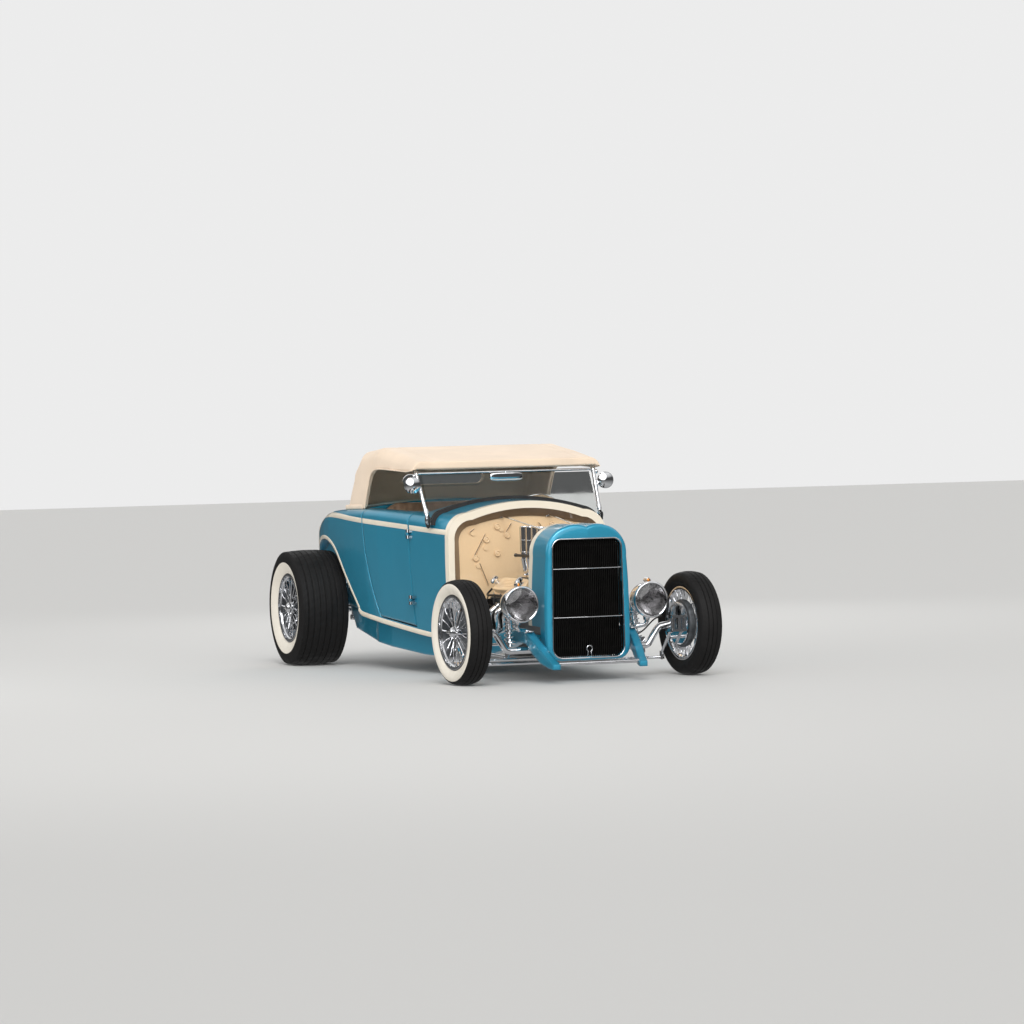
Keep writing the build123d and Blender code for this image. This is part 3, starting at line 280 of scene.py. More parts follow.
def ring(centre, direction, radius, thickness, steps=48, sides=10, finish=0):
    """A torus: a small circle of the given thickness turned about an axis."""
    angles = around(sides)
    profile = np.stack([thickness * np.sin(angles), radius + thickness * np.cos(angles)], -1)
    return turned(profile, centre, direction, steps, finish, wrap=True)


# Points are thrown onto the panels from this far out, past the body's half width
THROWN_FROM = 0.95


def draped(name, grid_yz, side, targets):
    """A grid of (y, z) points thrown sideways onto the panels; rows past the panel's edge are left off."""
    rows, columns = grid_yz.shape[:2]
    start = np.concatenate([np.full((rows, columns, 1), side * THROWN_FROM), grid_yz], -1)
    landed_within = THROWN_FROM - 0.001
    found = start.copy()
    for target in targets:
        mesh = bpy.data.meshes.new(name)
        mesh.from_pydata(start.reshape(-1, 3), [], quads_of(rows, columns, False, False))
        scratch = bpy.data.objects.new(name, mesh)
        bpy.context.scene.collection.objects.link(scratch)
        wrap = scratch.modifiers.new("throw", "SHRINKWRAP")
        wrap.wrap_method, wrap.target = "PROJECT", NODES[target]
        wrap.use_project_x = True
        wrap.use_positive_direction, wrap.use_negative_direction = side < 0, side > 0
        shaped = scratch.evaluated_get(bpy.context.evaluated_depsgraph_get()).to_mesh()
        points = np.zeros(rows * columns * 3)
        shaped.vertices.foreach_get("co", points)
        points = points.reshape(rows, columns, 3)
        nearer = np.abs(points[..., 0]) < landed_within
        found[nearer] = points[nearer]
        bpy.data.objects.remove(scratch)
    whole_rows = (np.abs(found[..., 0]) < landed_within).all(1)
    if whole_rows.sum() < 4:
        raise RuntimeError(f"{name}: the strip misses the panel")
    return found[whole_rows]


def unit(vectors):
    """Each row brought to length 1."""
    return vectors / np.linalg.norm(vectors, axis=1)[:, None]


def closed_strip(loop):
    """A strip whose rows are closed sections, with each end drawn to the middle of its section."""
    ends = loop.mean(1, keepdims=True).repeat(loop.shape[1], 1)
    return Grid(np.concatenate([ends[:1], loop, ends[-1:]], 0), False, True)


def strip_on(name, path, width, side, targets, rise, columns=7):
    """A raised bead on the body's side: path + u*width/2 across it, thrown onto the panels and then moved
    out by rise*sqrt(1 - u^2), a low half round. Its edges and back lie just under the panel."""
    edge_sunk, back_sunk = 0.0004, 0.0012
    along = unit(np.gradient(path, axis=0))
    across = np.stack([-along[:, 1], along[:, 0]], -1)
    u = np.linspace(-1, 1, columns)
    flat = path[:, None, :] + across[:, None, :] * (u * width / 2)[None, :, None]
    top = draped(name, flat, side, targets)
    foot = top.copy()
    top[..., 0] += side * (rise * np.sqrt(np.maximum(0, 1 - u ** 2))[None, :] - edge_sunk)
    foot[..., 0] -= side * back_sunk
    return closed_strip(np.concatenate([top, foot[:, ::-1]], 1))


def lip_along(path, width, side, targets, rise, columns=9):
    """A bead whose middle line is thrown onto the panels and whose section is its own half round:
    line + u*width/2 upwards + rise*sqrt(1 - u^2) outwards."""
    back_sunk = 0.003
    pair_above = np.array([[0.0, 0.001], [0.0, 0.003]])
    line = draped("lip", path[:, None, :] + pair_above[None], side, targets)[:, 0]
    along = unit(np.gradient(line, axis=0))
    outward = unit(np.cross(along, UP))
    outward *= np.sign(outward[:, :1]) * side
    upward = np.cross(along, outward)
    u = np.linspace(-1, 1, columns)[None, :, None]
    middle = line[:, None] + upward[:, None] * u * width / 2
    front = middle + outward[:, None] * rise * np.sqrt(1 - u ** 2)
    back = (middle - outward[:, None] * back_sunk)[:, ::-1]
    return closed_strip(np.concatenate([front, back], 1))


# Finishes

def new_finish(name, base, metallic=0.0, roughness=0.5, coat=0.0, coat_roughness=0.05):
    """A material with its shader, whose even values are set on the shader's own sockets."""
    material = bpy.data.materials.new(name)
    material.use_nodes = True
    shader = material.node_tree.nodes["Principled BSDF"]
    shader.inputs["Base Color"].default_value = (*base, 1)
    shader.inputs["Metallic"].default_value = metallic
    shader.inputs["Roughness"].default_value = roughness
    shader.inputs["Coat Weight"].default_value = coat
    shader.inputs["Coat Roughness"].default_value = coat_roughness
    return material, shader


def texture(material, kind, **values):
    """A texture node on Object coordinates, with its inputs set by name."""
    tree = material.node_tree
    node = tree.nodes.new(kind)
    coordinates = tree.nodes.get("Place") or tree.nodes.new("ShaderNodeTexCoord")
    coordinates.name = "Place"
    tree.links.new(coordinates.outputs["Object"], node.inputs["Vector"])
    for key, value in values.items():
        node.inputs[key.replace("_", " ").title()].default_value = value
    return node


def spread(material, source, low, high, out_low, out_high):
    """A value brought from one span to another and held inside it."""
    tree = material.node_tree
    node = tree.nodes.new("ShaderNodeMapRange")
    tree.links.new(source, node.inputs["Value"])
    for key, value in zip(("From Min", "From Max", "To Min", "To Max"), (low, high, out_low, out_high)):
        node.inputs[key].default_value = value
    return node.outputs["Result"]


# A colour mix node's two colour inputs and its colour output
MIX_FIRST, MIX_SECOND, MIX_RESULT = 6, 7, 2


def mixed_in(tree, factor, first, second):
    """Two colours mixed by a factor; either may be a colour or another node's output."""
    node = tree.nodes.new("ShaderNodeMix")
    node.data_type = "RGBA"
    tree.links.new(factor, node.inputs["Factor"])
    for index, value in ((MIX_FIRST, first), (MIX_SECOND, second)):
        if isinstance(value, bpy.types.NodeSocket):
            tree.links.new(value, node.inputs[index])
        else:
            node.inputs[index].default_value = (*value, 1)
    return node.outputs[MIX_RESULT]


def mixed(material, factor, first, second):
    """The same in a material."""
    return mixed_in(material.node_tree, factor, first, second)


def bumped(material, shader, height, strength, distance):
    """Fine relief from a height, as a share of a distance in metres."""
    tree = material.node_tree
    node = tree.nodes.new("ShaderNodeBump")
    node.inputs["Strength"].default_value = strength
    node.inputs["Distance"].default_value = distance
    tree.links.new(height, node.inputs["Height"])
    tree.links.new(node.outputs["Normal"], shader.inputs["Normal"])


def tint(base, scale):
    """A colour made darker or lighter by a factor, held below full white."""
    return tuple(min(1.0, c * scale) for c in base)


def link_to(material, source, shader, key):
    """A node's output into one of the shader's sockets."""
    material.node_tree.links.new(source, shader.inputs[key])


def shaded(material, shader, pattern, span, first, second, share=1.0):
    """The colour drifts from the first to a share of the second as a pattern goes through its span."""
    drift = spread(material, pattern, *span, 0.0, share)
    link_to(material, mixed(material, drift, first, second), shader, "Base Color")


def dulled(material, shader, pattern, span, smooth, rough):
    """The roughness drifts between two values as a pattern goes through its span."""
    link_to(material, spread(material, pattern, *span, smooth, rough), shader, "Roughness")


def sprayed(name, base, metallic, band=None, eased=0.0):
    """Car paint under clear coat, with fine flake, slow shade changes and soft orange peel.
    band is (axis letter, place, whether it lies above that place, second colour) for a panel in two
    colours, and eased is the radius to which its creases look rolled."""
    material, shader = new_finish(name, base, metallic, 0.34, 0.85, 0.03)
    shader.inputs["Specular IOR Level"].default_value = 0.25
    flake = texture(material, "ShaderNodeTexVoronoi", scale=900.0)
    slow = texture(material, "ShaderNodeTexNoise", scale=2.2, detail=2.0)
    deep = mixed(material, spread(material, flake.outputs["Distance"], 0.0, 0.9, 0.0, 1.0),
                 tint(base, 1.18), tint(base, 0.86))
    drift = spread(material, slow.outputs["Fac"], 0.3, 0.7, 0.0, 0.22)
    shade = mixed(material, drift, deep, tint(base, 0.72))
    if band:
        axis, edge, above, second = band
        masked_edge = 0.0004
        below_it, above_it = (0.0, 1.0) if above else (1.0, 0.0)
        tree = material.node_tree
        split = tree.nodes.new("ShaderNodeSeparateXYZ")
        tree.links.new(tree.nodes["Place"].outputs["Object"], split.inputs["Vector"])
        inside = spread(material, split.outputs[axis], edge, edge + masked_edge, below_it, above_it)
        shade = mixed(material, inside, shade, second)
        link_to(material, spread(material, inside, 0.0, 1.0, metallic, 0.0), shader, "Metallic")
    link_to(material, shade, shader, "Base Color")
    dulled(material, shader, slow.outputs["Fac"], (0.3, 0.7), 0.30, 0.40)
    peel = texture(material, "ShaderNodeTexNoise", scale=140.0, detail=1.0)
    bumped(material, shader, peel.outputs["Fac"], 0.02, 0.001)
    if eased:
        ease_edges(material, shader, eased)
    return material


def ease_edges(material, shader, radius):
    """Light meets panel creases as if they were rolled to a radius."""
    tree = material.node_tree
    bevel = tree.nodes.new("ShaderNodeBevel")
    bevel.samples = 4
    bevel.inputs["Radius"].default_value = radius
    bump = shader.inputs["Normal"].links[0].from_node
    tree.links.new(bevel.outputs["Normal"], bump.inputs["Normal"])
    tree.links.new(bevel.outputs["Normal"], shader.inputs["Coat Normal"])


def plated(name, base=(0.86, 0.87, 0.89), roughness=0.05, wave=0.02):
    """Polished plating with faint haze and a slight waviness of the metal under it."""
    material, shader = new_finish(name, base, 1.0, roughness)
    haze = texture(material, "ShaderNodeTexNoise", scale=35.0, detail=4.0)
    dulled(material, shader, haze.outputs["Fac"], (0.35, 0.7), roughness * 0.6, roughness * 2.2)
    shaded(material, shader, haze.outputs["Fac"], (0.4, 0.75), base, tint(base, 0.9))
    wavy = texture(material, "ShaderNodeTexNoise", scale=9.0, detail=1.0)
    bumped(material, shader, wavy.outputs["Fac"], wave, 0.01)
    return material


def cast(name, base, roughness=0.55, metallic=0.7):
    """Sand-cast metal: fine grain, and darker in slow patches."""
    material, shader = new_finish(name, base, metallic, roughness)
    shader.inputs["Specular IOR Level"].default_value = 0.5 if metallic else 0.12
    grain = texture(material, "ShaderNodeTexNoise", scale=420.0, detail=5.0)
    patch = texture(material, "ShaderNodeTexNoise", scale=18.0, detail=3.0)
    shaded(material, shader, patch.outputs["Fac"], (0.35, 0.65), tint(base, 1.15), tint(base, 0.6))
    dulled(material, shader, grain.outputs["Fac"], (0.3, 0.7), roughness - 0.1, roughness + 0.12)
    bumped(material, shader, grain.outputs["Fac"], 0.25, 0.0006)
    return material


def rubbery(name, base, roughness=0.62, grain_scale=520.0):
    """Moulded rubber with fine grain, a dusty bloom and mild streaks."""
    material, shader = new_finish(name, base, 0.0, roughness)
    shader.inputs["Specular IOR Level"].default_value = 0.2
    grain = texture(material, "ShaderNodeTexNoise", scale=grain_scale, detail=3.0)
    bloom = texture(material, "ShaderNodeTexNoise", scale=14.0, detail=4.0)
    dusty = tint(base, 1.7 if max(base) < 0.2 else 0.86)
    shaded(material, shader, bloom.outputs["Fac"], (0.4, 0.75), base, dusty, 0.5)
    dulled(material, shader, bloom.outputs["Fac"], (0.3, 0.7), roughness - 0.12, roughness + 0.12)
    bumped(material, shader, grain.outputs["Fac"], 0.12, 0.0004)
    return material


def woven(name, base, pitch=0.0016):
    """Cloth of over-and-under threads: two crossed sine waves, bent a little, with a slow shade change.
    A wave texture has its bands 1/(20*scale) apart, which is the threads' pitch."""
    material, shader = new_finish(name, base, 0.0, 0.82)
    shader.inputs["Sheen Weight"].default_value = 0.25
    shader.inputs["Sheen Roughness"].default_value = 0.5
    across = texture(material, "ShaderNodeTexWave", scale=1 / (pitch * 20), distortion=1.2)
    along = texture(material, "ShaderNodeTexWave", scale=1 / (pitch * 20), distortion=1.2)
    across.bands_direction = "X"
    along.bands_direction = "Y"
    over = spread(material, across.outputs["Fac"], 0, 1, 0, 1)
    threads = mixed(material, over, (0, 0, 0), along.outputs["Color"])
    slow = texture(material, "ShaderNodeTexNoise", scale=5.0, detail=4.0)
    shaded(material, shader, slow.outputs["Fac"], (0.35, 0.7), tint(base, 1.04), tint(base, 0.88), 0.6)
    bumped(material, shader, threads, 0.18, 0.0005)
    return material


def hide(name, base):
    """Leather: small cells for its grain, creases at a larger scale and a soft gloss."""
    material, shader = new_finish(name, base, 0.0, 0.45)
    cells = texture(material, "ShaderNodeTexVoronoi", scale=260.0)
    crease = texture(material, "ShaderNodeTexNoise", scale=22.0, detail=5.0)
    shaded(material, shader, crease.outputs["Fac"], (0.35, 0.7), tint(base, 1.12), tint(base, 0.74))
    dulled(material, shader, crease.outputs["Fac"], (0.3, 0.7), 0.36, 0.56)
    bumped(material, shader, cells.outputs["Distance"], 0.22, 0.0006)
    return material


def clear_glass(name, base=(0.93, 0.96, 0.96), roughness=0.01):
    """Glass or a coloured lens, with faint smears that blur it a little."""
    material, shader = new_finish(name, base, 0.0, roughness)
    shader.inputs["Transmission Weight"].default_value = 1.0
    shader.inputs["IOR"].default_value = 1.45
    smear = texture(material, "ShaderNodeTexNoise", scale=9.0, detail=3.0)
    dulled(material, shader, smear.outputs["Fac"], (0.4, 0.8), roughness, roughness + 0.03)
    return material


FINISH = {}
BODY_FLAKE, EASED_CREASE = 0.45, 0.022


def make_finishes():
    """Every finish by its name, from the paints and sizes of the scene."""
    paints, sizes = bpy.context.scene.roadster_paints, bpy.context.scene.roadster_sizes
    body, cream, stripe = tuple(paints.body), tuple(paints.cream), tuple(paints.stripe)
    cowl_edge = COWL_FRONT - MIDDLE + sizes.band_width
    shell_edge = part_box("grille_shell")[1].y - sizes.shell_band
    FINISH.update({
        "body": sprayed("teal_paint", body, BODY_FLAKE, None, EASED_CREASE),
        "cowl": sprayed("cowl_paint", body, BODY_FLAKE, ("Y", cowl_edge, False, stripe)),
        "shell": sprayed("shell_paint", body, BODY_FLAKE, ("Y", shell_edge, True, stripe)),
        "cream": sprayed("cream_paint", cream, 0.0),
        "stripe": sprayed("stripe_paint", stripe, 0.0),
        # painted shade: a dark taupe for the recess round the firewall and for the insides of its slots
        "shaded_recess": sprayed("recess_painted_shade", (0.19, 0.125, 0.075), 0.0),
        "chrome": plated("chrome_plate"),
        "dull_chrome": plated("worn_chrome", (0.74, 0.75, 0.77), 0.14, 0.05),
        "wire_chrome": plated("wire_chrome", (0.84, 0.84, 0.86), 0.08, 0.0),
        "mirror": plated("mirror_glass", (0.9, 0.92, 0.93), 0.02, 0.0),
        # real plating dimmed to grey as painted shade inside the lamps
        "reflector": plated("lamp_reflector_painted_shade", (0.50, 0.49, 0.50), 0.10, 0.0),
        "firewall": sprayed("firewall_paint", cream, 0.0, ("Z", FIREWALL_FOOT, False, tuple(paints.black))),
        "cast": cast("cast_iron", (0.16, 0.17, 0.18)),
        "engine": cast("engine_enamel", (0.05, 0.06, 0.065), 0.42, 0.2),
        "black": sprayed("black_enamel", tuple(paints.black), 0.0),
        "slats": cast("satin_slats", (0.006, 0.0055, 0.005), 0.5, 0.0),
        "tyre": rubbery("tyre_rubber", tuple(paints.rubber)),
        "whitewall": rubbery("whitewall_rubber", tuple(paints.whitewall), 0.5),
        "seal": rubbery("seal_rubber", (0.02, 0.02, 0.02), 0.4),
        "cloth": woven("top_cloth", tuple(paints.cloth)),
        "leather": hide("seat_leather", tuple(paints.leather)),
        "dark_leather": hide("door_leather", tint(tuple(paints.leather), 0.8)),
        "glass": clear_glass("clear_glass"),
        "lens": clear_glass("lens_glass", (0.97, 0.98, 0.98), 0.02),
        "red": clear_glass("red_lens", (0.62, 0.012, 0.01), 0.06),
        "amber": clear_glass("amber_lens", (0.85, 0.30, 0.02), 0.06),
        "carpet": rubbery("floor_carpet", (0.10, 0.085, 0.07), 0.9, 260.0),
    })


NODE_FINISH = {
    "body": ("body_tub", "decklid", "door_left", "door_right", "frame_rail_left", "frame_rail_right",
             "crossmembers"),
    "cowl": ("cowl",),
    "shell": ("grille_shell",),
    "cream": ("dash", "valve_covers"),
    "firewall": ("firewall",),
    "chrome": ("door_hinges", "radiator_stays", "spreader_bar", "front_axle", "front_suspension",
               "knuckle_left", "knuckle_right", "tie_rod", "drag_link", "pitman_arm", "steering_column",
               "windshield_frame", "exhaust", "intake_stacks", "rear_axle", "rear_suspension",
               "engine_pulleys", "tail_lamps", "steering_wheel", "headlamps"),
    "wire_chrome": ("rim_front_left", "rim_front_right", "rim_rear_left", "rim_rear_right"),
    "engine": ("engine_block",),
    "cast": ("gearbox",),
    "dull_chrome": ("steering_box",),
    "black": ("fuel_tank",),
    "slats": ("grille_insert", "radiator"),
    "carpet": ("floor_panel",),
    "seal": ("windshield_seal",),
    "glass": ("windshield_glass",),
    "cloth": ("soft_top",),
    "leather": ("seat_cushion", "seat_back"),
    "tyre": ("tyre_front_left", "tyre_front_right", "tyre_rear_left", "tyre_rear_right"),
}


class ROADSTER_OT_finishes(bpy.types.Operator):
    """Make every finish and give each construction piece its own"""
    bl_idname = "roadster.finishes"
    bl_label = "Finishes"

    def execute(self, context):
        make_finishes()
        for key, names in NODE_FINISH.items():
            for name in names:
                for socket in NODES[name].material_slots:
                    socket.material = FINISH[key]
        return {"FINISHED"}


# Stage

# The camera fitted to the photograph: place, target, focal length in mm and roll in degrees
CAMERA_AT, CAMERA_TARGET = (-8.941, -23.964, 1.481), (-0.0081, -0.354, 0.9635)
CAMERA_LENS, CAMERA_ROLL = 147.4, 1.3265
SENSOR_WIDTH, SIGHT = 36, 200
# The floor's half side in metres, its colour and its roughness
FLOOR_REACH, FLOOR_COLOUR, FLOOR_ROUGHNESS = 60.0, (0.62, 0.615, 0.60), 0.75
# name, place, target, size in metres, power in watts
LAMPS = (
    ("key_light", (-4.5, -6.5, 5.5), (0, 0, 0.5), 3.0, 60),
    ("side_light", (-6.0, 0.5, 2.6), (0, 0.2, 0.6), 2.2, 40),
    ("rear_light", (3.0, 7.0, 4.0), (0, 0.5, 0.6), 3.0, 50),
)
# name, direction that the light travels, angle across in degrees, strength
SUNS = (
    ("high_sun", (0.30, 0.75, -0.85), 28, 1.08),
    ("soft_sun", (0.05, 0.9, -0.40), 50, 0.92),
)
# The room's grey by height of the ray, from 0 straight down to 1 straight up
SEEN_GREYS = ((0.50, 0.84), (0.65, 0.84), (0.875, 0.60))
REFLECTED_GREYS = ((0.0, 0.30), (0.27, 0.44), (0.43, 0.20), (0.49, 0.07),
                   (0.60, 0.06), (0.68, 0.55), (0.81, 0.85), (0.975, 0.10))


def facing(travel):
    """The turn that points a lamp's beam along a direction."""
    return Vector(travel).to_track_quat("-Z", "Y").to_euler()


class ROADSTER_OT_stage(bpy.types.Operator):
    """Set the pale floor, the soft lights, the pale world and the camera"""
    bl_idname = "roadster.stage"
    bl_label = "Stage"

    def execute(self, context):
        scene = context.scene
        scene.view_settings.view_transform = "Standard"
        camera = bpy.data.objects.new("camera", bpy.data.cameras.new("camera"))
        scene.collection.objects.link(camera)
        forward = (Vector(CAMERA_TARGET) - Vector(CAMERA_AT)).normalized()
        right = forward.cross(Vector((0, 0, 1))).normalized()
        up = right.cross(forward)
        roll = math.radians(CAMERA_ROLL)
        across = right * math.cos(roll) - up * math.sin(roll)
        upward = up * math.cos(roll) + right * math.sin(roll)
        turn = Matrix((across, upward, -forward)).transposed()
        camera.matrix_world = Matrix.Translation(CAMERA_AT) @ turn.to_4x4()
        camera.data.lens = CAMERA_LENS
        camera.data.sensor_width = SENSOR_WIDTH
        camera.data.clip_end = SIGHT
        scene.camera = camera
        for name, where, target, size, power in LAMPS:
            light = bpy.data.lights.new(name, "AREA")
            light.size = size
            light.energy = power
            lamp = bpy.data.objects.new(name, light)
            lamp.location = where
            lamp.rotation_euler = facing(Vector(target) - Vector(where))
            scene.collection.objects.link(lamp)
        for name, travel, spread_across, strength in SUNS:
            light = bpy.data.lights.new(name, "SUN")
            light.angle = math.radians(spread_across)
            light.energy = strength
            lamp = bpy.data.objects.new(name, light)
            lamp.rotation_euler = facing(travel)
            scene.collection.objects.link(lamp)
        self.make_world(scene)
        self.make_floor(scene)
        return {"FINISHED"}

    def make_world(self, scene):
        """Pale to the camera and through glass, while polished metal sees a room with a dark horizon."""
        world = bpy.data.worlds.new("pale_room")
        scene.world = world
        world.use_nodes = True
        tree = world.node_tree
        back = tree.nodes["Background"]
        place = tree.nodes.new("ShaderNodeTexCoord")
        split = tree.nodes.new("ShaderNodeSeparateXYZ")
        tree.links.new(place.outputs["Generated"], split.inputs["Vector"])
        height = tree.nodes.new("ShaderNodeMapRange")
        height.inputs["From Min"].default_value = -1.0
        tree.links.new(split.outputs["Z"], height.inputs["Value"])
        seen = self.shade(tree, height.outputs["Result"], SEEN_GREYS)
        reflected = self.shade(tree, height.outputs["Result"], REFLECTED_GREYS)
        rays = tree.nodes.new("ShaderNodeLightPath")
        grey = mixed_in(tree, rays.outputs["Is Glossy Ray"], seen, reflected)
        tree.links.new(grey, back.inputs["Color"])
        back.inputs["Strength"].default_value = 1.0

    def shade(self, tree, height, stops):
        """A grey ramp over the height of the ray."""
        ramp = tree.nodes.new("ShaderNodeValToRGB")
        tree.links.new(height, ramp.inputs["Fac"])
        elements = ramp.color_ramp.elements
        while len(elements) < len(stops):
            elements.new(0.5)
        for element, (where, grey) in zip(elements, stops):
            element.position = where
            element.color = (grey, grey, grey, 1)
        return ramp.outputs["Color"]

    def make_floor(self, scene):
        """A wide pale floor, which polished metal doesn't mirror."""
        mesh = bpy.data.meshes.new("floor")
        square = [(x * FLOOR_REACH, y * FLOOR_REACH, 0) for x, y in ((-1, -1), (1, -1), (1, 1), (-1, 1))]
        mesh.from_pydata(square, [], [(0, 1, 2, 3)])
        floor = bpy.data.objects.new("floor", mesh)
        scene.collection.objects.link(floor)
        material, _ = new_finish("pale_floor", FLOOR_COLOUR, 0.0, FLOOR_ROUGHNESS)
        mesh.materials.append(material)
        floor.visible_glossy = False
        floor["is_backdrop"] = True


# Tyres and wheels

def wheel_places():
    """Each wheel's name, centre, outward axis and size key, from the joints it spins on."""
    wheels = []
    for joint in frame["joints"]:
        if joint["name"].startswith("spin_"):
            centre, axis = np.array(joint["pos_m"], float), np.array(joint["axis"], float)
            side = 1 if centre[0] > 0 else -1
            key = "front" if "front" in joint["name"] else "rear"
            wheels.append((joint["child"], centre, axis * side, key))
    return wheels


# tyre radius, half width, half width at the bead, grooves round the tread, slanted cuts round it
TYRES = {"front": (0.304, 0.0725, 0.054, 5, 60), "rear": (0.3635, 0.160, 0.133, 9, 45)}
BEAD_R, LIP_R = 0.2043, 0.219
TYRE_STEPS = 180
# The tread's share of the half width, the slanted cuts' slant and depth, and their share of a repeat
TREAD_SHARE, CUT_SLANT, CUT_DEPTH, CUT_SHARE = 0.86, 1.2, 0.0016, 0.17


def tyre_profile(radius, half, bead, grooves, depth):
    """Half round sides from the bead to the shoulder, and a grooved tread crowned as 1 - (x/shoulder)^2."""
    shoulder, top, bulge = half - 0.014, radius - 0.009, (0.204 + radius) / 2 + 0.008

    def arc(start, middle, end, steps):
        """A quadratic curve that passes through its middle point half-way."""
        t = np.linspace(0, 1, steps)[:, None]
        start, middle, end = (np.array(p) for p in (start, middle, end))
        control = 2 * middle - (start + end) / 2
        return (1 - t) ** 2 * start + 2 * t * (1 - t) * control + t ** 2 * end

    points_a_rib = 14
    side = arc((bead, LIP_R), (half, bulge), (shoulder, top), 22)
    x = np.linspace(shoulder, -shoulder, grooves * points_a_rib + 1)
    crown = top + (radius - top) * (1 - (x / shoulder) ** 2)
    phase = (x / shoulder * TREAD_SHARE) * grooves / 2
    cut = np.clip(1.5 - np.abs(((phase + 0.5) % 1.0) - 0.5) * points_a_rib, 0, 1)
    inside = np.abs(x) < shoulder * 0.9
    tread = np.stack([x, crown - depth * cut * inside], -1)
    mirror_side = side[::-1] * (-1, 1)
    return np.vstack([[(bead, BEAD_R)], side, tread[1:-1], mirror_side, [(-bead, BEAD_R)]])


class ROADSTER_OT_tyres(bpy.types.Operator):
    """Grooved tyres with wide cream whitewalls on their outer sides"""
    bl_idname = "roadster.tyres"
    bl_label = "Tyres"

    def execute(self, context):
        sizes = context.scene.roadster_sizes
        white = {"front": (sizes.front_white_in, sizes.front_white_out),
                 "rear": (sizes.rear_white_in, sizes.rear_white_out)}
        for body, centre, axis, key in wheel_places():
            radius, half, bead, grooves, cuts = TYRES[key]
            profile = tyre_profile(radius, half, bead, grooves, sizes.groove_depth)
            grid = turned(profile, centre, axis, TYRE_STEPS, wrap=True)
            self.cut_blocks(grid, profile, axis, radius, half, cuts)
            name = body.replace("wheel", "tyre") + "_moulded"
            piece = build_piece(name, [grid], [FINISH["tyre"], FINISH["whitewall"]], body, 35)
            self.paint_band(piece, centre, axis, half, *white[key])
            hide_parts(body.replace("wheel", "tyre"))
        return {"FINISHED"}

    def cut_blocks(self, grid, profile, axis, radius, half, cuts):
        """Slanted cuts: the tread's radius dips a little where angle + slant*|across| repeats."""
        _, e, f = axes_of(axis)
        angle = np.arange(TYRE_STEPS)[:, None] / TYRE_STEPS * 2 * math.pi
        across = profile[None, :, 0] / half
        wave = np.abs(((angle * cuts / (2 * math.pi) + np.abs(across) * CUT_SLANT) % 1.0) - 0.5)
        on_tread = (profile[None, :, 1] > radius - 0.012) & (np.abs(across) < TREAD_SHARE)
        dip = np.where(on_tread & (wave < CUT_SHARE), CUT_DEPTH, 0.0)
        spoke = np.cos(angle)[..., None] * e + np.sin(angle)[..., None] * f
        grid.points -= spoke * dip[..., None]

    def paint_band(self, piece, centre, axis, half, inside, outside):
        """Faces of the outer side whose middle lies between two radii take the second finish."""
        mesh = piece.data
        offset = rows_of(mesh.polygons, "center") - centre
        along = offset @ axis
        radius = np.linalg.norm(offset - along[:, None] * axis, axis=1)
        band = (along > half * 0.3) & (radius > inside) & (radius < outside)
        mesh.polygons.foreach_set("material_index", band.astype(np.int32))


# the rim's half width, and the hub's inner and outer ends along the axle
WHEELS = {"front": (0.059, -0.060, 0.050), "rear": (0.138, 0.010, 0.128)}
WIRES_A_ROW = 24
# Where a wire's outer end lies, and the share of its length at which its nipple starts
WIRE_SEAT_R, NIPPLE_AT = 0.1930, 0.9
# The rim's outer and inner surfaces on one side, as (distance in from its edge, radius)
RIM_OUTER = ((0.001, 0.2165), (0.0035, 0.2162), (0.0050, 0.2130), (0.0052, 0.2040), (0.020, 0.2035),
             (0.026, 0.1960))
RIM_INNER = ((0.0, 0.2120), (0.001, 0.2000), (0.012, 0.1985), (0.019, 0.1915))


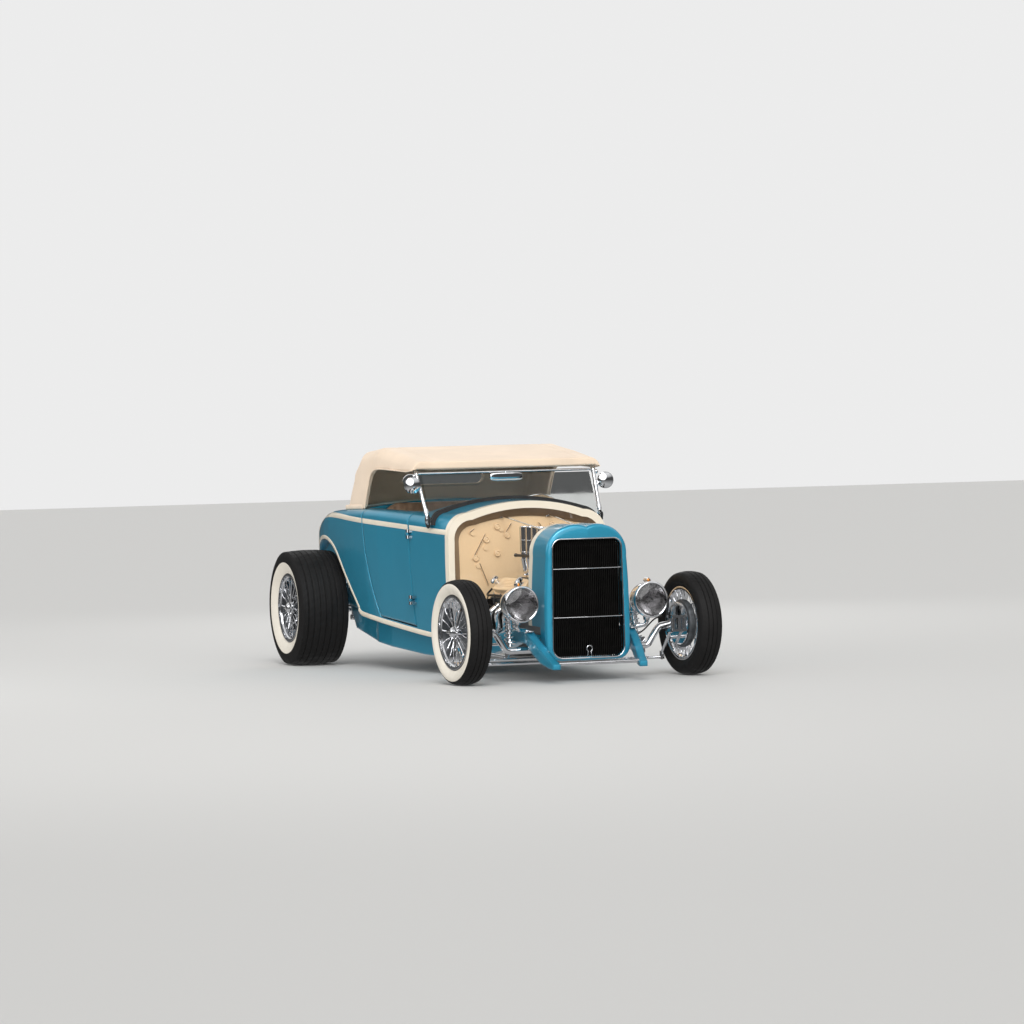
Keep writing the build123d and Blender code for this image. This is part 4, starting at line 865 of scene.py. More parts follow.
class ROADSTER_OT_wheels(bpy.types.Operator):
    """Wire wheels: a stepped chrome rim, crossing wires with nipples, a hub and a two-eared spinner"""
    bl_idname = "roadster.wheels"
    bl_label = "Wire wheels"

    def execute(self, context):
        wire = context.scene.roadster_sizes.wire
        for body, centre, axis, key in wheel_places():
            half, hub_in, hub_out = WHEELS[key]
            grids = [self.rim(centre, axis, half)]
            grids += self.hub(centre, axis, hub_in, hub_out)
            grids += self.wires(centre, axis, half, hub_in, hub_out, wire)
            piece = build_piece(body.replace("wheel", "wire") + "_wheel", grids,
                                [FINISH["wire_chrome"], FINISH["chrome"], FINISH["cast"]], body, 32)
            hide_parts(body.replace("wheel", "rim"))
        return {"FINISHED"}

    def rim(self, centre, axis, half):
        """The rim's section: flange lips curled outwards, bead seats and a dropped middle."""
        outer = [(half - x, r) for x, r in RIM_OUTER] + [(x - half, r) for x, r in RIM_OUTER[::-1]]
        inner = [(x - half, r) for x, r in RIM_INNER] + [(half - x, r) for x, r in RIM_INNER[::-1]]
        return turned(outer + inner, centre, axis, 120, 1, wrap=True)

    def hub(self, centre, axis, hub_in, hub_out):
        """A bell-shaped hub with flanges for both wire rows, a brake drum and the spinner's dome."""
        body = [(hub_in, 0.0), (hub_in, 0.030), (hub_in + 0.004, 0.040), (hub_in + 0.010, 0.040),
                (hub_in + 0.016, 0.030), (hub_out - 0.030, 0.027), (hub_out - 0.018, 0.036),
                (hub_out - 0.010, 0.036), (hub_out - 0.004, 0.031), (hub_out, 0.031), (hub_out, 0.0)]
        cap = [(hub_out - 0.001, 0.0), (hub_out - 0.001, 0.034), (hub_out + 0.006, 0.034),
               (hub_out + 0.012, 0.030), (hub_out + 0.020, 0.022), (hub_out + 0.0245, 0.012),
               (hub_out + 0.026, 0.0)]
        low = hub_in - 0.006
        drum = [(low, 0.0), (low, 0.130), (low + 0.003, 0.136), (low + 0.010, 0.138), (low + 0.034, 0.138),
                (low + 0.040, 0.134), (low + 0.042, 0.120), (low + 0.042, 0.0)]
        grids = [turned(body, centre, axis, 40, 1),
                 turned(cap, centre, axis, 40, 1),
                 turned(drum, centre, axis, 72, 2)]
        first_fin, fin_pitch, fin_r = low + 0.012, 0.007, 0.1385
        for k in range(3):
            grids.append(ring(centre + axis * (first_fin + fin_pitch * k), axis, fin_r, 0.0018, 72, 6, 2))
        a, e, f = axes_of(axis)
        turn = np.stack([a, e, f], -1)
        ear, ear_out, ear_from_axis = (0.012, 0.052, 0.017), 0.011, 0.046
        for side in (-1, 1):
            place = centre + a * (hub_out + ear_out) + e * side * ear_from_axis
            grids.append(slab(place, ear, 0.55, 3, 1, turn))
        return grids

    def wires(self, centre, axis, half, hub_in, hub_out, wire):
        """Two rows of straight wires that cross: each runs from a hub flange to the rim's dropped middle,
        leaning forward or back in turn, with a nipple at the rim."""
        a, e, f = axes_of(axis)
        # for each row: its place on the hub and on the rim along the axle, the flange's radius, its lean
        rows = ((hub_out - 0.014, half - 0.044, 0.034, 15.0), (hub_in + 0.007, half - 0.070, 0.039, 23.0))
        grids = []
        for hub_x, rim_x, hub_r, lean in rows:
            for step in range(WIRES_A_ROW):
                angle = math.radians(360 / WIRES_A_ROW * step)
                far = angle + math.radians(lean if step % 2 else -lean)
                start = centre + a * hub_x + hub_r * (math.cos(angle) * e + math.sin(angle) * f)
                end = centre + a * rim_x + WIRE_SEAT_R * (math.cos(far) * e + math.sin(far) * f)
                seat = start + (end - start) * NIPPLE_AT
                grids.append(tube([start, seat], wire, 6))
                grids.append(tube([seat, end], wire * 1.7, 6))
        return grids


# Body trim

# Points of the belt line and of the sill bead, as station and height
BELT_LINE = ((0.792, 0.858), (1.0, 0.868), (1.2, 0.879), (1.42, 0.891), (1.655, 0.904), (1.90, 0.917),
             (2.125, 0.929), (2.36, 0.943), (2.56, 0.948), (2.72, 0.938), (2.82, 0.905), (2.885, 0.855),
             (2.925, 0.795), (2.938, 0.745))
SILL_LINE = ((0.78, 0.222), (1.14, 0.248), (1.52, 0.285), (1.90, 0.327), (2.028, 0.342), (2.075, 0.366))
# How far the arch bead's middle lies outside the cut edge, where it starts behind the wheel, where it ends
ARCH_MARGIN, ARCH_START, ARCH_FOOT = 0.013, math.radians(55), 0.372


def belt_path():
    """The belt line as (y, z), rising rearward and turning down round the tail."""
    return curve_through(BELT_LINE, 36) - (MIDDLE, 0)


def arch_path():
    """Round the rear wheel's arch, centre + r*(cos, sin), and down its straight front flare."""
    radius = ARCH_R + ARCH_MARGIN
    angle = np.linspace(ARCH_START, math.pi / 2 + ARCH_LEAN, 40)
    round_top = np.array(ARCH_CENTRE) + radius * np.stack([np.cos(angle), np.sin(angle)], -1)
    fall = np.linspace(0, round_top[-1, 1] - ARCH_FOOT, 16)[1:, None]
    flare = round_top[-1] - fall * np.array([[1 / math.tan(ARCH_LEAN), 1.0]])
    return np.vstack([round_top, flare]) - (MIDDLE, 0)


def sill_path():
    """The sill bead's middle line as (y, z), which ends where the arch bead does."""
    return curve_through(SILL_LINE, 20) - (MIDDLE, 0)


def cut_path(path, low, high):
    """The part of a path whose stations lie between two values."""
    keep = (path[:, 0] > low - MIDDLE) & (path[:, 0] < high - MIDDLE)
    return path[keep]


# Stations between which the belt bead lies on the cowl, on the door and on the tub
ON_COWL, ON_DOOR, ON_TUB = (0.78, 1.30), (1.20, 2.00), (1.90, 2.95)


class ROADSTER_OT_stripes(bpy.types.Operator):
    """Raised cream beads along belt, sill and wheel arch, the belt's split at the doors"""
    bl_idname = "roadster.stripes"
    bl_label = "Stripes"

    def execute(self, context):
        sizes = context.scene.roadster_sizes
        width, rise = sizes.bead_width, sizes.bead_rise
        sill_rise, arch_width = rise * 1.3, width * 0.8
        belt, sill, arch = belt_path(), sill_path(), arch_path()
        for side, label in ((1, "left"), (-1, "right")):
            panels = [strip_on("belt", cut_path(belt, *ON_COWL), width, side, ["cowl"], rise),
                      strip_on("belt", cut_path(belt, *ON_TUB), width, side, ["body_tub"], rise),
                      lip_along(sill, width, side, ["cowl", "body_tub"], sill_rise),
                      strip_on("arch", arch, arch_width, side, ["body_tub"], rise)]
            piece = build_piece(f"body_stripes_{label}", panels, [FINISH["stripe"]], "chassis", 50)
            on_door = strip_on("door", cut_path(belt, *ON_DOOR), width, side, [f"door_{label}"], rise)
            piece = build_piece(f"door_stripe_{label}", [on_door], [FINISH["stripe"]], f"door_{label}", 50)
        return {"FINISHED"}


def arc_points(start, middle, end, steps=16):
    """A circle's arc through three plane points: centre from the two bisectors, then even angles."""
    (ax, az), (bx, bz), (cx, cz) = start, middle, end
    d = 2 * (ax * (bz - cz) + bx * (cz - az) + cx * (az - bz))
    a2, b2, c2 = ax * ax + az * az, bx * bx + bz * bz, cx * cx + cz * cz
    centre = np.array([(a2 * (bz - cz) + b2 * (cz - az) + c2 * (az - bz)) / d,
                       (a2 * (cx - bx) + b2 * (ax - cx) + c2 * (bx - ax)) / d])
    radius = math.hypot(ax - centre[0], az - centre[1])
    turns = [math.atan2(z - centre[1], x - centre[0]) for x, z in (start, middle, end)]
    whole, part = (turns[2] - turns[0]) % FULL_TURN, (turns[1] - turns[0]) % FULL_TURN
    sweep = whole if part < whole else whole - FULL_TURN
    t = turns[0] + np.linspace(0, sweep, steps)
    return centre + radius * np.stack([np.cos(t), np.sin(t)], -1)


SHELL_HALF = 0.262


def both_sides(line):
    """A right-hand outline of (x, z) points and its mirror image, in one closed order."""
    return np.concatenate([line, (line * (-1, 1))[::-1]])


def shell_outline():
    """The grille shell's outer outline: foot, side, shoulder and low hump arcs, mirrored."""
    half, shoulder, low, top, foot, corner, dip = SHELL_HALF, 0.250, 0.124, 0.908, 0.074, 0.640, 0.014
    right = [
        arc_points((half - foot, low), (half - foot * 0.29, low + foot * 0.29), (half, low + foot)),
        arc_points((half, low + foot), (half + 0.002, (low + foot + corner) / 2), (shoulder, corner + 0.080)),
        arc_points((shoulder, corner + 0.080), (shoulder * 0.85, top - 0.064), (shoulder * 0.5, top - 0.010)),
        arc_points((shoulder * 0.5, top - 0.010), (shoulder * 0.28, top), (0, top - dip)),
    ]
    return both_sides(np.concatenate(right))


def opening_outline(grow=0.0):
    """The grille opening: a box with round corners, a little narrower at its top."""
    half, low, top, foot, corner = 0.220 + grow, 0.140 - grow, 0.822 + grow, 0.060, 0.052
    turn = np.linspace(0, math.pi / 2, 14)
    quarter = np.stack([np.cos(turn), np.sin(turn)], -1)
    upper = quarter * corner + (half - 0.008 - corner, top - corner)
    lower = (quarter * (1, -1) * foot + (half - foot, low + foot))[::-1]
    return both_sides(np.concatenate([lower, upper]))


def vee(x):
    """The station of the grille's front face: a shallow vee, nose + slope*|x|."""
    return VEE_NOSE + np.abs(x) * VEE_SLOPE


def radii_at(outline, centre, angles):
    """How far a star-shaped outline lies from a centre in each direction."""
    offset = outline - centre
    turn = np.arctan2(offset[:, 1], offset[:, 0])
    order = np.argsort(turn)
    turn, radius = turn[order], np.hypot(*offset.T)[order]
    turn = np.concatenate([turn - FULL_TURN, turn, turn + FULL_TURN])
    return np.interp(angles, turn, np.tile(radius, 3))


def dense(outline, per=6):
    """More points on a closed outline's straight runs."""
    after = np.roll(outline, -1, axis=0)
    t = np.linspace(0, 1, per, endpoint=False)[None, :, None]
    return (outline[:, None] * (1 - t) + after[:, None] * t).reshape(-1, 2)


# The height over which the shell reaches back past the frame rails, and its rear stations above and below it
SHELL_CUT_Z, SHELL_REAR_ABOVE, SHELL_REAR_BELOW = 0.322, 0.092, -0.096


class ROADSTER_OT_shell(bpy.types.Operator):
    """The grille shell with a rolled front edge, a thin bright rim round its opening, bars and a pan"""
    bl_idname = "roadster.shell"
    bl_label = "Grille shell"

    def execute(self, context):
        """Each ray from the middle carries the section: share of the way in, step outwards, depth, end."""
        centre = np.array([0.0, 0.480])
        outer, hole = dense(shell_outline()), dense(opening_outline())
        turns = np.linspace(-math.pi, math.pi, 400, endpoint=False)
        rear_cut = [math.atan2(SHELL_CUT_Z + step - centre[1], side * SHELL_HALF)
                    for side in (1, -1) for step in (-2e-4, 2e-4)]
        turns = np.sort(np.concatenate([turns, rear_cut]))
        out_r, in_r = radii_at(outer, centre, turns), radii_at(hole, centre, turns)
        ray = np.stack([np.cos(turns), np.sin(turns)], -1)
        roll = np.linspace(0, math.pi / 2, 8)
        section = [(0, -0.014, None, "rear"), (0, 0.0, None, "rear"), (0, 0.0, 0.024, "front")]
        section += [(0, -0.020 * (1 - math.cos(a)), 0.020 * (1 - math.sin(a)) + 0.002, "front") for a in roll]
        section += [(0.5, -0.004, 0.0, "front")]
        section += [(1, 0.007 * (1 - math.sin(a)), 0.001 + 0.007 * (1 - math.cos(a)), "front") for a in roll]
        section += [(1, 0.0, 0.030, "front"), (1, 0.001, 0.062, "front"), (0, -0.014, 0.070, "front")]
        columns = []
        for share, outward, depth, end in section:
            radius = out_r + (in_r - out_r) * share + outward
            flat = centre + radius[:, None] * ray
            rear = np.where(flat[:, 1] > SHELL_CUT_Z, SHELL_REAR_ABOVE, SHELL_REAR_BELOW)
            station = rear if end == "rear" else vee(flat[:, 0]) + depth
            columns.append(np.stack([flat[:, 0], station - MIDDLE, flat[:, 1]], -1))
        shell = Grid(np.stack(columns, 1), True, True)
        piece = build_piece("grille_shell_rolled", [shell], [FINISH["shell"]], "chassis", 38)
        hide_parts("grille_shell")
        grids = [self.rim(), *self.bars(), *self.ring()]
        piece = build_piece("grille_trim", grids, [FINISH["chrome"]], "chassis", 60)
        pan_at, pan_size = at(0, -0.139, 0.222), (0.424, 0.005, 0.150)
        pan = slab(pan_at, pan_size, 0.12, 4)
        piece = build_piece("grille_pan", [pan], [FINISH["slats"]], "chassis", 40)
        return {"FINISHED"}

    def rim(self):
        """A thin round rim along the opening's closed edge: path + r*(cos*n + sin*b)."""
        margin, forward, thickness = 0.0025, 0.0005, 0.0042
        flat = dense(opening_outline(margin), 3)
        path = np.stack([flat[:, 0], vee(flat[:, 0]) + forward - MIDDLE, flat[:, 1]], -1)
        tangent = unit(np.roll(path, -1, 0) - np.roll(path, 1, 0))
        normal = unit(np.cross(tangent, REARWARD))
        turn = around(8)[None, :, None]
        circle = np.cos(turn) * normal[:, None] + np.sin(turn) * np.cross(tangent, normal)[:, None]
        return Grid(path[:, None] + thickness * circle, True, True)

    def bars(self):
        """Two thin bright bars across the slats, bent to their vee."""
        grids = []
        behind_face, thickness = 0.0095, 0.003
        x = np.array([-0.212, -0.1, -0.012, 0, 0.012, 0.1, 0.212])
        for z in (0.372, 0.652):
            path = np.stack([x, vee(x) + behind_face - MIDDLE, np.full(7, z)], -1)
            grids.append(tube(path, thickness, 8))
        return grids

    def ring(self):
        """A keyhole-shaped loop at the slats' foot: a ring on a short stem."""
        centre, radius, raised, thickness = at(0, -0.190, 0.186), 0.017, 0.004, 0.0032
        turn = np.linspace(math.radians(-60), math.radians(240), 26)
        loop = np.stack([radius * np.cos(turn), np.zeros(26), radius * np.sin(turn) + raised], -1) + centre
        feet = np.array([[0.013, 0, -0.040], [-0.013, 0, -0.040]]) + centre
        return [tube(np.vstack([feet[:1], loop, feet[1:]]), thickness, 10)]


# The headlamps' profiles as (along the car from the bezel's front, radius)
BOWL_START, BOWL_DEPTH, BOWL_R, BOWL_FULLNESS = 0.034, 0.171, 0.101, 0.82
BEZEL = ((0.011, 0.0925), (0.003, 0.0945), (0.0, 0.0985), (0.002, 0.1030), (0.008, 0.1065), (0.020, 0.1065),
         (0.026, 0.1045), (0.0275, 0.1020), (0.034, 0.1010))
MARKER_BODY = ((-0.020, 0.0), (-0.020, 0.0105), (-0.018, 0.0130), (0.0, 0.0138))
STAND_TOP = ((0, 0), (0, 0.024), (0.006, 0.025), (0.012, 0.021), (0.040, 0.019), (0.044, 0))


def dished(edge, rise, radius, steps):
    """A shallow bowl or dome from its rim to its pole: along = edge + rise*(1 - (r/radius)^2)."""
    return [(edge + rise * (1 - (r / radius) ** 2), r) for r in np.linspace(radius, 0.0, steps)]


class ROADSTER_OT_lamps(bpy.types.Operator):
    """Bullet headlamps with bezel, lens, reflector and marker, on bent stands"""
    bl_idname = "roadster.lamps"
    bl_label = "Headlamps"

    def execute(self, context):
        grids = []
        for side in (1, -1):
            face = at(side * LAMP_X, LAMP_FACE, LAMP_Z)
            grids += self.lamp(face) + self.marker(face + (0, 0.067, 0)) + self.stand(side)
        piece = build_piece("headlamps_dressed", grids,
                            [FINISH["chrome"], FINISH["reflector"], FINISH["lens"], FINISH["amber"]],
                            "chassis", 35)
        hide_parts("headlamps")
        return {"FINISHED"}

    def lamp(self, face):
        """Bezel and bowl in one profile, the bowl as (sin, cos^0.82), round reflector, lens and bulb."""
        turn = np.linspace(0, math.pi / 2, 18)
        bowl = [(BOWL_START + BOWL_DEPTH * math.sin(a), BOWL_R * math.cos(a) ** BOWL_FULLNESS) for a in turn]
        # the reflector and the bulb take the dimmed plating that paints the shade inside the lamp
        reflector = dished(0.014, 0.075, 0.0925, 16)
        lens_out = dished(0.011, -0.0095, 0.092, 12)
        lens_in = [(along + 0.003, r) for along, r in lens_out[::-1]]
        return [turned([*BEZEL, *bowl[1:]], face, REARWARD, 64, 0),
                turned(reflector, face, REARWARD, 48, 1),
                turned(lens_out + lens_in, face, REARWARD, 64, 2),
                ring(face + (0, 0.0305, 0), REARWARD, 0.1015, 0.0018, 64, 8),
                slab(face + (0, 0.052, 0), (0.022, 0.040, 0.022), 0.9, 3, 1)]

    def marker(self, top):
        """A small bullet on a short stem, with an amber glow at its front."""
        middle = top + (0, -0.006, 0.1115)
        turn = np.linspace(0, math.pi / 2, 18)[::2]
        tail = [(0.026 + 0.020 * math.sin(a), 0.0135 * math.cos(a)) for a in turn]
        glow = [(-0.026 + 0.006 * (r / 0.0105) ** 2, r) for r in np.linspace(0.0105, 0.0, 6)]
        return [tube([top + (0, 0, 0.092), top + (0, 0, 0.104)], [0.009, 0.006], 12),
                turned([*MARKER_BODY, *tail], middle, REARWARD, 24, 0),
                turned(glow, middle, REARWARD, 24, 3)]

    def stand(self, side):
        """A socket under the lamp, a bent tube down to the frame and a bolted foot."""
        low = at(side * LAMP_X, -0.084, LAMP_Z)
        foot = at(side * 0.330, -0.060, 0.292)
        bend = [low - (0, 0, 0.110), low - (0, 0, 0.130), low + (-side * 0.012, 0.004, -0.148),
                foot + (side * 0.022, 0, 0.010), foot + (side * 0.004, 0, 0.004)]
        grids = [turned(STAND_TOP, low - (0, 0, 0.080), -UP, 24, 0),
                 tube(curve_through(bend, 8), 0.0125, 14),
                 slab(foot + (-side * 0.012, -0.004, 0.003), (0.034, 0.050, 0.008), 0.2, 3, 0)]
        for step in (-0.017, 0.009):
            grids.append(hex_bolt(foot + (-side * 0.014, step, 0.006), UP, 0.006, 0.005))
        return grids


def hex_bolt(foot, direction, radius, height, finish=0):
    """A six-sided head with a chamfered top on a washer."""
    head = [(0.0, 0.0), (0.0, radius * 1.35), (height * 0.2, radius * 1.35), (height * 0.2, radius),
            (height * 0.85, radius), (height, radius * 0.8), (height, 0.0)]
    return turned(head, foot, direction, 6, finish)


BANK = math.radians(45)
CRANK_Z = 0.300
# The cylinders' middle station, the ports' stations, and the ports' place across and height
ENGINE_MIDDLE = 0.411
PORTS = (0.212, 0.338, 0.464, 0.590)
PORT_X, PORT_Z = 0.254, 0.424
# How far out along the bank the valve covers stand, and their breathers' stations and profile
COVER_OUT, BREATHERS = 0.3183, (0.210, 0.612)
BREATHER = ((0, 0), (0, 0.019), (0.004, 0.020), (0.007, 0.0135), (0.017, 0.0135), (0.020, 0.026),
            (0.025, 0.0285), (0.036, 0.0280), (0.042, 0.022), (0.0455, 0.011), (0.046, 0))
# The intake stacks: across, the first one's station, the distance between them and the outer radius
STACK_X, STACK_FIRST, STACK_PITCH, STACK_R = 0.098, 0.282, 0.092, 0.0275
# Each band on a stack: height, radius, thickness
STACK_BANDS = ((0.8845, 0.0268, 0.0030), (0.735, STACK_R, 0.0022), (0.806, STACK_R, 0.0016))
# The left shock's lower and upper eyes, as across, station and height
SHOCK_LOW, SHOCK_HIGH = (0.398, 0.054, 0.205), (0.384, 0.100, 0.430)
# Ways of trim on the car's left side, as across, station and height
THIRD_HEADER = ((0.262, 0.464, 0.424), (0.318, 0.468, 0.380), (0.292, 0.526, 0.290), (0.272, 0.740, 0.200))
BRAKE_HOSE = ((0.352, 0.150, 0.250), (0.400, 0.150, 0.235), (0.455, 0.110, 0.262), (0.505, 0.050, 0.330),
              (0.540, 0.012, 0.350))


def on_side(way, side):
    """A way given for the car's left side, carried over to one of its sides."""
    return [at(side * x, station, z) for x, station, z in way]


def banked(side):
    """Directions of one bank: out along the cylinders, and down across the head."""
    out = np.array([side * math.sin(BANK), 0, math.cos(BANK)])
    down = np.array([side * math.cos(BANK), 0, -math.sin(BANK)])
    return out, down


class ROADSTER_OT_engine(bpy.types.Operator):
    """Valve covers with fins and breathers, belt, leads, stack lips and flange bolts"""
    bl_idname = "roadster.engine"
    bl_label = "Engine dress"

    def execute(self, context):
        covers, trim = [], []
        for side in (1, -1):
            out, down = banked(side)
            self.cover(covers, trim, out, down)
            trim += self.header_flanges(side, out, down)
            trim.append(tube(curve_through(on_side(THIRD_HEADER, side), 14), 0.0165, 20))
            trim += self.leads(out, down)
        piece = build_piece("valve_covers_finned", covers, [FINISH["cream"]], "chassis", 40)
        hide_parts("valve_covers")
        trim += self.springs() + self.stack_lips() + [self.belt()] + self.front_bits()
        piece = build_piece("engine_dress", trim, [FINISH["chrome"], FINISH["seal"], FINISH["dull_chrome"]],
                            "chassis", 40)
        return {"FINISHED"}

    def cover(self, covers, trim, out, down):
        """A flange, a rounded cover with five fins, a bright edge, two breathers and ten bolts."""
        turn = np.stack([down, REARWARD, out], -1)
        seat = at(0, ENGINE_MIDDLE, CRANK_Z) + out * COVER_OUT
        covers.append(slab(seat + out * 0.004, (0.120, 0.506, 0.008), 0.12, 4, 0, turn))
        covers.append(slab(seat + out * 0.024, (0.102, 0.488, 0.046), 0.34, 6, 0, turn))
        trim.append(slab(seat + out * 0.0062, (0.1225, 0.5085, 0.0034), 0.12, 4, 0, turn))
        for step in (-0.022, -0.011, 0.0, 0.011, 0.022):
            place = seat + out * 0.0462 + down * step
            covers.append(slab(place, (0.0036, 0.250, 0.005), 0.3, 3, 0, turn))
        for station in BREATHERS:
            trim.append(turned(BREATHER, at(0, station, CRANK_Z) + out * 0.362, out, 32, 0))
        for station in np.linspace(0.180, 0.642, 5):
            for step in (-0.0545, 0.0545):
                foot = at(0, station, CRANK_Z) + out * 0.3255 + down * step
                trim.append(hex_bolt(foot, out, 0.0048, 0.006))

    def header_flanges(self, side, out, down):
        """A rounded flange and two bolts where each pipe leaves its port."""
        grids = []
        flat = np.stack([out, REARWARD, down], -1)
        for station in PORTS:
            port = at(side * PORT_X, station, PORT_Z)
            grids.append(slab(port, (0.046, 0.078, 0.010), 0.5, 4, 0, flat))
            for step in (-0.030, 0.030):
                grids.append(hex_bolt(port + (0, step, 0) + down * 0.004, down, 0.006, 0.007))
        return grids

    def leads(self, out, down):
        """Spark leads: each leaves a boot between the ports and climbs over the cover's lower edge."""
        grids = []
        base = at(0, 0, CRANK_Z)
        rail_out, rail_down = 0.335, 0.074
        for station in (0.272, 0.398, 0.524, 0.640):
            boot = base + (0, station, 0) + out * 0.270 + down * 0.088
            path = [boot,
                    boot + down * 0.026 + out * 0.004,
                    boot + down * 0.034 + out * 0.045 + (0, 0.018, 0),
                    base + (0, station + 0.045, 0) + out * rail_out + down * rail_down]
            grids.append(tube(curve_through(path, 7), 0.0036, 8, 1))
            grids.append(tube([boot, boot + down * 0.030 + out * 0.005], [0.0068, 0.0058], 10, 1))
        rail = [base + (0, s, 0) + out * rail_out + down * rail_down for s in (0.300, 0.45, 0.60, 0.700)]
        rail.append(base + (0, 0.745, 0) + out * 0.325 + down * 0.020)
        grids.append(tube(curve_through(rail, 8), 0.0065, 10, 1))
        return grids

    def springs(self):
        """A coil spring on each front shock, low + (high - low)*t + r*(cos, sin)(18*pi*t) with t from 0.10
        to 0.80, which makes about six turns between two round seats, and the brake hose beside it."""
        grids = []
        coil_r, wire_r, turns_whole = 0.0285, 0.0042, 9
        seat = ((-0.003, 0), (-0.003, 0.034), (0.003, 0.034), (0.003, 0))
        for side in (1, -1):
            low, high = on_side((SHOCK_LOW, SHOCK_HIGH), side)
            along, first, second = axes_of(high - low)
            t = np.linspace(0.10, 0.80, 170)[:, None]
            turn = t * 2 * math.pi * turns_whole
            path = low + (high - low) * t + coil_r * (np.cos(turn) * first + np.sin(turn) * second)
            grids.append(tube(path, wire_r, 8))
            for share in (0.085, 0.815):
                grids.append(turned(seat, low + (high - low) * share, along, 28))
            grids.append(tube(curve_through(on_side(BRAKE_HOSE, side), 10), 0.0045, 8, 1))
        return grids

    def stack_lips(self):
        """A rolled lip, two bands, eight ribs and a foot on each intake stack, with a fuel rail a side."""
        grids = []
        rib_r, rib_low, rib_height, foot_z, rail_z = 0.0274, 0.736, 0.146, 0.712, 0.716
        for side in (1, -1):
            for step in range(4):
                station = STACK_FIRST + STACK_PITCH * step
                for z, radius, thick in STACK_BANDS:
                    grids.append(ring(at(side * STACK_X, station, z), UP, radius, thick, 32, 8))
                for angle in np.radians(np.arange(8) * 45 + 22.5):
                    x, y = rib_r * math.cos(angle), rib_r * math.sin(angle)
                    low = at(side * STACK_X + x, station + y, rib_low)
                    grids.append(tube([low, low + (0, 0, rib_height)], 0.0026, 6))
                grids.append(slab(at(side * STACK_X, station, foot_z), (0.074, 0.074, 0.012), 0.35, 3, 2))
                union = at(side * 0.130, station, rail_z)
                grids.append(tube([union, union + (side * 0.018, 0, 0)], 0.0062, 10))
            rail = [at(side * 0.1475, station, rail_z) for station in (0.244, 0.584)]
            grids.append(tube(rail, 0.0085, 14, 1))
            for end, direction in zip(rail, (-REARWARD, REARWARD)):
                grids.append(hex_bolt(end, direction, 0.0098, 0.009))
        return grids

    def belt(self):
        """A flat belt round the crank and fan pulleys: two half circles joined by straight runs."""
        fan_z, fan_r, crank_r, thickness = 0.425, 0.0625, 0.0785, 0.004
        low, high = 0.088 - MIDDLE, 0.098 - MIDDLE
        turn = around(64)
        upper = np.sin(turn) > 0
        radius = np.where(upper, fan_r, crank_r)
        height = np.where(upper, fan_z, CRANK_Z) + radius * np.sin(turn)
        centre = np.stack([radius * np.cos(turn), np.zeros(64), height], -1)
        outward = np.stack([np.cos(turn), np.zeros(64), np.sin(turn)], -1)
        edges = ((0, low), (thickness, low), (thickness, high), (0, high))
        return Grid(np.stack([centre + outward * r + (0, y, 0) for r, y in edges], 1), True, True, 1)

    def front_bits(self):
        """The crank's nose bolt, and the clamped hose from the water neck to the radiator's top tank."""
        neck = at(0.045, 0.205, 0.575)
        path = [neck, neck + (0.002, -0.030, 0.050), at(0.060, 0.110, 0.700), at(0.070, 0.030, 0.800),
                at(0.074, -0.034, 0.815)]
        grids = [hex_bolt(at(0, 0.063, CRANK_Z), -REARWARD, 0.014, 0.014),
                 tube(curve_through(path, 10), 0.0195, 20, 1)]
        for place, direction in ((path[0] + (0.001, -0.014, 0.024), (0.04, -0.5, 0.85)),
                                 (path[3] + (0.003, -0.036, 0.010), (0.05, -1, 0.2))):
            grids.append(ring(place, direction, 0.0205, 0.0030, 32, 8))
        return grids


# The firewall's dimples, and the ends of its slanted slots, as across and height on the left half
DIMPLES = ((0.176, 0.884), (0.246, 0.808), (0.178, 0.724), (0.112, 0.832), (0.316, 0.700))
SLOTS = (((0.359, 0.848), (0.320, 0.878)), ((0.339, 0.693), (0.252, 0.846)),
         ((0.124, 0.846), (0.085, 0.905)), ((0.296, 0.673), (0.240, 0.535)))
# The point that rays leave to find the cowl's inner edge: its height, and how far behind the cowl's front
RECESS_MIDDLE_Z, RECESS_BEHIND_FRONT = 0.60, 0.010


